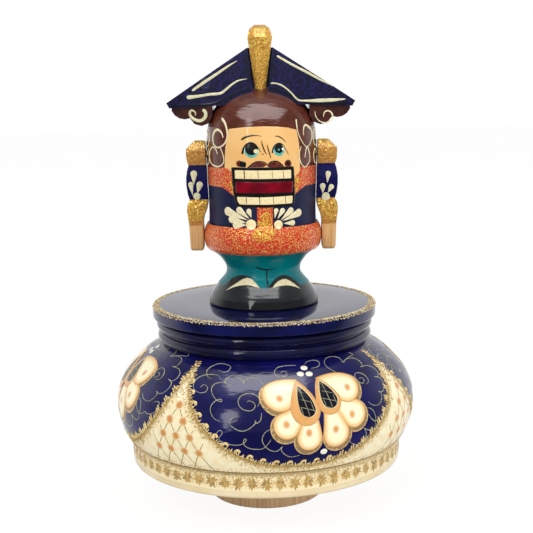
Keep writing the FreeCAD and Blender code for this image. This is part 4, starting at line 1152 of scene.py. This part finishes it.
# Curls beside the face, each with the widths of its line, and the curl that is repeated round the head
side_curls = (
    (((-16.9, 153.4), (-15.0, 151.6), (-13.9, 148.5), (-14.0, 146.0), (-15.2, 143.9), (-17.4, 142.6),
      (-19.6, 142.3), (-21.6, 143.2), (-22.6, 145.0), (-22.4, 147.0), (-21.0, 148.6), (-18.9, 149.0),
      (-16.9, 148.0), (-15.9, 146.0)), (1.3, 1.0, 0.7, 0.7, 0.65, 0.8, 1.2, 1.0, 0.4)),
    (((-19.2, 139.6), (-20.6, 141.7), (-22.8, 142.3), (-25.2, 140.9), (-26.3, 138.4), (-24.6, 136.0),
      (-21.0, 135.0), (-18.0, 135.2), (-16.0, 136.6), (-15.9, 138.8), (-17.2, 141.6), (-18.6, 142.6)),
     (0.35, 0.6, 0.7, 0.6, 0.7, 0.6, 0.45, 0.3)),
    (((14.6, 152.6), (15.0, 148.6), (16.5, 145.3), (18.6, 142.9), (20.4, 142.0), (22.8, 143.2),
      (24.6, 145.8), (24.2, 148.2), (21.6, 149.8), (19.4, 150.2), (18.4, 148.6), (18.3, 146.4)),
     (0.8, 0.5, 0.4, 0.35, 0.35, 0.45, 1.1, 0.8, 0.3)),
    (((18.9, 137.9), (19.4, 140.0), (20.4, 142.0), (22.0, 139.6), (22.3, 136.8), (20.3, 134.9),
      (18.9, 134.3), (17.0, 135.5), (16.0, 137.6), (15.9, 139.9), (16.8, 142.4)),
     (0.3, 0.55, 0.75, 0.4, 0.35, 0.5, 0.45, 0.35, 0.25)))
back_curl = ((1.0, 0.4), (0.2, 1.9), (-1.6, 2.6), (-3.4, 1.4), (-3.7, -1.0), (-2.2, -3.2), (0.3, -3.7),
             (2.6, -2.6), (3.5, -0.2), (3.1, 3.0))
back_curl_start = 29.6     # millimetres round the head from the middle of the face


def paint_hair(put, brushes):
    """Cream curls on both sides of the face, and two rows round the back of the head."""
    line = brushes["cream_line"]
    for curl, widths in side_curls:
        line.stroke(put, curl, widths, 0.05)
    whole = 2 * pi * torso_radius
    for k in range(9):
        x = back_curl_start + (whole - 2 * back_curl_start) * k / 8
        if x > whole / 2:
            x -= whole
        for y, size in ((145.9, 1.0), (138.6, 0.9)):
            curl = [(x + size * right, y + size * up) for right, up in back_curl]
            line.stroke(put, curl, (0.25, 0.6, 0.8, 0.55, 0.5, 0.5, 0.4, 0.25), 0.05)


def paint_coat(put, brushes):
    """Collar points, glittering front stripe, gold on both, and fans of dabs with their buttons."""
    for lift, rings, outline, centre in (
            (0.07, 6, ((-17.6, 127.6), (-17.0, 127.1), (-14.5, 126.0), (-10.6, 123.6), (-10.6, 134.0),
                       (-11.7, 133.0), (-12.6, 133.4), (-13.9, 134.4), (-15.6, 134.8), (-17.4, 134.6)),
             (-14.2, 130.0)),
            (0.07, 6, ((12.2, 123.4), (15.9, 125.8), (18.8, 127.0), (20.4, 127.4), (20.4, 134.4),
                       (18.9, 133.9), (16.0, 132.9), (13.8, 131.1), (12.8, 129.8), (12.2, 129.6)),
             (15.6, 129.3)),
            (0.07, 5, ((-2.0, 112.0), (4.0, 112.0), (4.0, 120.2), (-2.0, 120.2)), None)):
        brushes["red_glitter"].patch(put, refined(outline, 0.8), lift, rings, 0.0, centre)
    for outline in (((-1.9, 112.0), (3.9, 112.0), (3.4, 116.6), (2.2, 118.0), (0.2, 117.6), (-1.6, 115.2)),
                    ((-13.4, 129.2), (-12.2, 124.8), (-10.6, 123.9), (-10.6, 131.6)),
                    ((12.2, 124.0), (14.2, 125.2), (16.2, 129.2), (14.6, 131.0), (12.2, 129.2)),
                    ((-3.2, 107.6), (0.0, 106.8), (3.6, 107.4), (5.2, 109.8), (4.4, 111.4), (-2.6, 111.4),
                     (-4.6, 109.8))):
        brushes["mixed_glitter"].patch(put, refined(outline, 0.8), 0.09, 5, 0.0)
    for dab in (((-5.6, 114.9), (-14.3, 118.0), 1.7), ((-5.0, 115.4), (-9.0, 118.6), 1.35),
                ((-4.2, 115.8), (-5.2, 118.3), 1.0), ((-6.0, 113.9), (-12.6, 115.0), 1.4),
                ((-6.0, 113.0), (-10.6, 113.0), 1.45), ((4.7, 115.4), (5.3, 118.5), 0.85),
                ((5.8, 115.2), (7.9, 118.3), 1.0), ((7.0, 114.6), (11.4, 118.1), 1.25),
                ((7.6, 114.3), (15.2, 117.0), 1.5), ((8.2, 113.4), (12.2, 113.3), 1.1)):
        brushes["cream_line"].drop(put, *dab, 0.06, 4, 0.12)
    for centre, radius in (((-4.4, 113.2), 2.0), ((6.1, 113.0), 1.7)):
        brushes["ivory"].dot(put, centre, radius, 0.22, 4, 0.3, 24)


def make_soldier():
    stretches = soldier_outline()
    body = Turned([corner for _, stretch in stretches for corner in stretch])
    paints = [paint for paint, stretch in stretches for _ in stretch]
    make_turned(body, "soldier_body", "soldier_paint", paints[1:], "figure_body")
    brushes = Brushes("soldier", "casing", "soldier_paint")
    for paint_part in (paint_boots, paint_coat, paint_face, paint_hair):
        paint_part(body.front(), brushes)
    brushes.done()


# Arms

arm_sections = (          # height under the shoulder, inner x, outer x, half depth
    (-5.2, 22.6, 26.2, 2.7), (-4.9, 22.1, 26.8, 3.0), (-2.2, 22.0, 29.5, 4.1), (-1.8, 22.0, 29.7, 4.2),
    (0.0, 22.0, 29.7, 4.2), (2.4, 21.95, 29.5, 4.1), (4.2, 21.8, 28.9, 3.8), (4.5, 21.8, 28.9, 3.75),
    (6.0, 21.7, 29.4, 4.0), (9.0, 21.65, 29.9, 4.2), (12.2, 21.6, 29.9, 4.2), (15.8, 21.4, 29.4, 4.1),
    (17.8, 21.4, 28.8, 3.8), (18.2, 21.4, 28.8, 3.75), (19.6, 21.5, 29.6, 4.15), (22.0, 22.0, 29.9, 4.25),
    (24.3, 23.0, 29.7, 4.2), (26.4, 23.4, 29.4, 4.0), (28.2, 23.45, 29.2, 3.8), (31.0, 23.5, 29.1, 3.7),
    (36.9, 23.5, 28.9, 3.5), (37.9, 23.7, 28.6, 3.3), (38.3, 24.2, 28.1, 2.9))
arm_bands = ((-2.0, "gold_glitter"), (4.3, "worn_gold"), (18.0, "navy"), (26.4, "gold_glitter"),
             (28.2, "worn_gold"), (99, "hand_wood"))


def make_stick(side, name):
    """A carved stick in four colours, with flat ends."""
    verts = []
    for drop, inner, outer, deep in arm_sections:
        loop = rounded([(inner, -deep), (outer, -deep), (outer, deep), (inner, deep)], 0.45)
        verts += [(side * x, y, shoulder_height - drop) for x, y in loop]
    wide = len(loop)
    names = sorted({paint for _, paint in arm_bands})
    faces = []
    face_paints = []

    def add(face, paint, turned):
        faces.append(list(face)[::-1] if turned else list(face))
        face_paints.append(names.index(paint))
    for j, (upper, lower) in enumerate(zip(arm_sections, arm_sections[1:])):
        paint = next(paint for end, paint in arm_bands if (upper[0] + lower[0]) / 2 < end)
        for k in range(wide):
            nxt = (k + 1) % wide
            add((j * wide + k, j * wide + nxt, (j + 1) * wide + nxt, (j + 1) * wide + k), paint, side > 0)
    last = len(verts) - wide
    add(range(wide), "gold_glitter", side < 0)
    add(range(last, last + wide), "hand_wood", side > 0)
    stick = make_piece(name + "_stick", name, "arm_paint", verts, faces, names, face_paints)
    stick.data.set_sharp_from_angle(angle=radians(40))
    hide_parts(name)


def on_arm(x, height, lift):
    """The point on an arm's front, lifted off it."""
    below = shoulder_height - height
    k = max(1, next((k for k, section in enumerate(arm_sections) if section[0] > below), 1))
    low, high = arm_sections[k - 1], arm_sections[k]
    share = (below - low[0]) / (high[0] - low[0])
    return (x, -(low[3] + (high[3] - low[3]) * share) - lift, height)


def make_arm(side, name, drops, button):
    """An arm with cream dabs on its sleeve."""
    make_stick(side, name)
    brushes = Brushes(name + "_sleeve", name, "arm_paint")
    for drop in drops:
        brushes["hat_line"].drop(on_arm, *drop, 0.05, 4, 0.12)
    brushes["hat_line"].dot(on_arm, *button, 0.06, 4, 0.16, 20)
    brushes.done()


# Hat and plume

hat_strokes = (
    (((-26.4, 163.8), (-21.9, 166.8), (-16.9, 169.9), (-12.4, 172.8), (-8.7, 174.9)),
     (1.1, 1.35, 1.25, 1.0, 0.35)),
    (((-28.6, 161.3), (-24.5, 161.7), (-19.5, 162.4), (-15.5, 162.7), (-13.3, 164.1), (-10.9, 166.0),
      (-8.4, 167.4), (-5.0, 168.1)), (1.9, 1.3, 1.1, 1.2, 1.1, 0.9, 0.7, 0.2)),
    (((6.4, 176.5), (12.1, 173.2), (18.2, 170.0), (23.1, 167.3), (28.6, 164.6)), (0.9, 1.0, 1.1, 0.9, 0.3)),
    (((3.8, 166.2), (5.7, 166.2), (7.9, 165.5), (10.1, 164.0), (12.0, 162.2), (13.4, 160.6), (14.9, 159.6),
      (18.0, 159.4), (22.0, 159.4), (26.8, 159.5), (33.0, 159.8)), (0.7, 0.7, 0.7, 0.9, 1.6, 1.5, 0.5)),
)
# Lines of painted shade on the hat's board, as (x, height): its lower edge over the head, and the side of the
# plume's notch
hat_edges = (
    ((35.2, 158.0), (26.0, 158.4), (18.4, 158.8), (13.0, 160.9), (8.6, 162.9), (3.7, 164.6)),
    ((5.7, 178.6), (5.2, 175.0), (4.4, 170.0), (3.8, 166.2)))
left_curl = ((-22.5, 156.7), (-21.5, 155.6), (-21.4, 154.1), (-22.3, 152.9), (-23.9, 152.3), (-25.6, 152.8),
             (-27.1, 153.9), (-27.6, 155.4), (-27.0, 156.3), (-25.9, 156.1), (-25.3, 155.1), (-25.5, 154.2))
right_curl = ((20.9, 155.4), (21.1, 153.6), (22.1, 152.0), (23.8, 151.0), (25.8, 151.0), (27.5, 152.2),
              (27.8, 153.6), (27.0, 155.0), (25.6, 155.4), (24.5, 154.7), (24.2, 153.0))


def hat_depth(x, inset=0.0):
    """Distance of the hat's curved front from the middle plane."""
    radius = (hat_half_width ** 2 + hat_bow ** 2) / (2 * hat_bow)
    return hat_half_depth - inset - radius + sqrt(radius ** 2 - x ** 2)


def paint_hat():
    brushes = Brushes("hat_trim", "casing", "hat_paint")
    for side in (1, -1):
        def on_board(x, z, lift, side=side):
            return (side * x, -side * (hat_depth(x) + lift), z)

        def on_curl(x, z, lift, side=side):
            return (side * x, -side * (hat_depth(x, scallop_set_in) + lift), z)
        # Dark strokes of painted shade along the board's lower edge and beside the plume's notch
        for points in hat_edges:
            for way in (1, -1):
                line = [(way * x, z) for x, z in points]
                brushes["edge_shade"].stroke(on_board, line, (0.9, 1.3, 1.3, 1.3, 1.1), 0.0, 0.03, 1.0)
        for points, widths in hat_strokes:
            brushes["hat_line"].stroke(on_board, points, widths, 0.04, 0.14, 0.6)
        for paint, curl, widths, dome in (
                ("hat_line", left_curl, (1.5, 1.6, 1.4, 1.4, 1.2, 0.8, 0.4), 0.14),
                ("cream_line", right_curl, (0.35, 0.4, 0.5, 0.6, 0.7, 0.6, 0.3), 0.10)):
            brushes[paint].stroke(on_curl, curl, widths, 0.04, dome, 0.4)
    brushes.done()


def hat_look():
    """Navy board over brown scallops, both brushed on unevenly."""
    hat = Look(0.5, coat=0.6)
    off_middle = hat.maths("ABSOLUTE", hat.axis(hat.place, 0))
    (near, start), (far, end) = scallop_top
    lower_edge = hat.node("MapRange", {"Value": off_middle, "From Min": near * MM, "From Max": far * MM,
                                       "To Min": start * MM, "To Max": end * MM})
    above_edge = hat.maths("SUBTRACT", hat.axis(hat.place, 2), lower_edge)
    navy = hat.mottle(1.1, 6.0, 0.40, 0.68, (2, 2, 34), (21, 18, 80))
    hair = hat.mottle(3.0, 3.0, 0.3, 0.7, (72, 28, 20), (48, 16, 12))
    hat.set({"Base Color": hat.mix(hat.ramp(above_edge, -0.06 * MM, 0.04 * MM), hair, navy)})
    return hat.bump(hat.noise(1.3, 3.0), 0.04).material


def finish_cad_pieces():
    """Materials for the nodes that keep their own shape, and softened edges on the carved ones."""
    own = {"hat": hat_look(), "plume": PAINTS["gold_glitter"]}
    for name, node in frame["nodes"].items():
        slot = next(part["material_slot"] for part in frame["record"]["subparts"] if part["node"] == name)
        material = own.get(name) or PAINTS.get(slot) or PAINTS["bare_wood"]
        node.data.materials.clear()
        node.data.materials.append(material)
    for name, width in (("hat", 0.8), ("plume", 0.5)):
        edge = frame["nodes"][name].modifiers.new("soft_edges", "BEVEL")
        edge.width = width * MM
        edge.segments = 3
        edge.limit_method = "ANGLE"
        edge.angle_limit = radians(28)


# Studio: how bright things are, where 1 is white

ambient_glow = 0.62
room_glow = 0.25
overhead_glow = 0.7
strip_glow = 5.0
floor_glow = 0.08
strip_way = (-0.485, -0.875, 0.0)
strip_side = (0.875, -0.485, 0.0)

# Camera as fitted to the photo's outlines, in millimetres and degrees
camera_place = (1.24, -430.03, 164.98)
camera_down = 9.4355
camera_roll = -0.8997
camera_lens = 73.08


def seen_by(nodes, kind):
    """1 for camera, glossy or transmission rays, and 0 for others."""
    return nodes.node("LightPath", output=f"Is {kind} Ray")


def make_world():
    """White behind the object; in reflections a dim room in front of it, with a tall narrow window."""
    world = bpy.data.worlds.new("studio")
    bpy.context.scene.world = world
    world.use_nodes = True
    studio = Nodes(world.node_tree)
    way = studio.node("TexCoord")
    ahead, up = studio.axis(way, 1), studio.axis(way, 2)
    room = studio.pick(studio.ramp(ahead, -0.1, 0.5), room_glow, studio.ramp(up, 0.35, 0.75, 1.0, room_glow))
    room = studio.maths("ADD", room, studio.ramp(up, 0.75, 0.95, 0.0, overhead_glow))
    facing = studio.maths("GREATER_THAN", studio.vector("DOT_PRODUCT", way, strip_way, 1), 0.3)
    beside = studio.maths("ABSOLUTE", studio.vector("DOT_PRODUCT", way, strip_side, 1))
    inside = studio.maths("LESS_THAN", beside, studio.ramp(up, 0.2, 0.5, 0.03, 0.09))
    tall = studio.maths("MULTIPLY", studio.ramp(up, 0.0, 0.06, 0.0, strip_glow),
                        studio.ramp(up, 0.55, 0.72, 1.0, 0.0))
    strip = studio.maths("MULTIPLY", studio.maths("MULTIPLY", inside, facing), tall)
    glow = studio.pick(seen_by(studio, "Glossy"), ambient_glow, studio.maths("ADD", room, strip))
    for kind in ("Camera", "Transmission"):
        glow = studio.pick(seen_by(studio, kind), glow, 1.0)
    studio.feed(world.node_tree.nodes["Background"].inputs, {"Color": (1, 1, 1, 1), "Strength": glow})


def make_floor():
    """A white table top that keeps a faint shadow, and that looks dim in front where it is mirrored."""
    mesh = bpy.data.meshes.new("floor")
    form = bmesh.new()
    bmesh.ops.create_circle(form, cap_ends=True, radius=4.0, segments=64)
    form.to_mesh(mesh)
    form.free()
    material = bpy.data.materials.new("floor_white")
    material.use_nodes = True
    studio = Nodes(material.node_tree)
    matt = studio.nodes["Principled BSDF"]
    studio.feed(matt.inputs, {"Base Color": rgb(238, 238, 236), "Roughness": 0.8, "Specular IOR Level": 0.0})
    depth = studio.axis(studio.node("TexCoord", output="Object"), 1)
    glossy = seen_by(studio, "Glossy")
    glow = studio.pick(glossy, 1.05, studio.ramp(depth, -0.12, 0.10, floor_glow))
    plain = studio.node("Emission", {"Strength": glow})
    seen = studio.maths("ADD", studio.maths("MULTIPLY", seen_by(studio, "Camera"), 0.88), glossy)
    mixed = studio.node("MixShader", {0: seen, 1: matt.outputs[0], 2: plain})
    studio.links.new(mixed, studio.nodes["Material Output"].inputs["Surface"])
    mesh.materials.append(material)
    floor = bpy.data.objects.new("floor", mesh)
    floor.location.z = -0.02 * MM
    bpy.context.scene.collection.objects.link(floor)


def make_lamp(name, place, aim, size, watts):
    light = bpy.data.lights.new(name, "AREA")
    light.shape = "RECTANGLE"
    light.size, light.size_y = size
    light.energy = watts
    lamp = bpy.data.objects.new(name, light)
    lamp.location = place
    lamp.rotation_euler = (Vector(aim) - Vector(place)).to_track_quat("-Z", "Y").to_euler()
    lamp.visible_glossy = False
    bpy.context.scene.collection.objects.link(lamp)
    return lamp


def make_camera():
    lens = bpy.data.cameras.new("camera")
    lens.lens = camera_lens
    lens.sensor_width = 36.0
    camera = bpy.data.objects.new("camera", lens)
    tilt = Matrix.Rotation(radians(90 - camera_down), 4, "X")
    roll = Matrix.Rotation(radians(camera_roll), 4, "Z")
    camera.matrix_world = Matrix.Translation(Vector(camera_place) * MM) @ tilt @ roll
    bpy.context.scene.collection.objects.link(camera)
    bpy.context.scene.camera = camera


bpy.context.scene.view_settings.view_transform = "Standard"
make_world()
make_floor()
make_lamp("key", (-0.35, -0.75, 0.75), (0, 0, 0.09), (0.55, 0.4), 3.6)
make_lamp("fill", (0.8, -0.6, 0.4), (0, 0, 0.09), (0.5, 0.6), 3.0)
make_lamp("top", (0.0, -0.1, 1.2), (0, 0, 0.09), (0.8, 0.5), 1.5)
softbox = make_lamp("softbox", (0.0, -0.065, 0.217), (0.0, -0.05, 0.1), (0.145, 0.07), 0.15)
softbox.visible_glossy = True
softbox.visible_diffuse = False
make_camera()

finish_cad_pieces()
make_foot()
make_base()
make_bowl()
paint_platform(make_platform())
paint_bowl()
paint_rim()
make_soldier()
make_arm(-1, "right_arm", (((-26.9, 127.2), (-26.8, 131.6), 1.3), ((-27.4, 122.9), (-28.1, 127.4), 1.0),
                           ((-25.6, 123.5), (-24.6, 127.3), 1.25)), ((-25.8, 122.7), 1.45))
make_arm(1, "left_arm", (((25.7, 127.2), (26.1, 130.9), 1.05), ((23.9, 122.9), (23.9, 126.1), 1.1),
                         ((25.9, 123.3), (27.3, 125.7), 1.05)), ((25.1, 121.9), 1.6))
paint_hat()
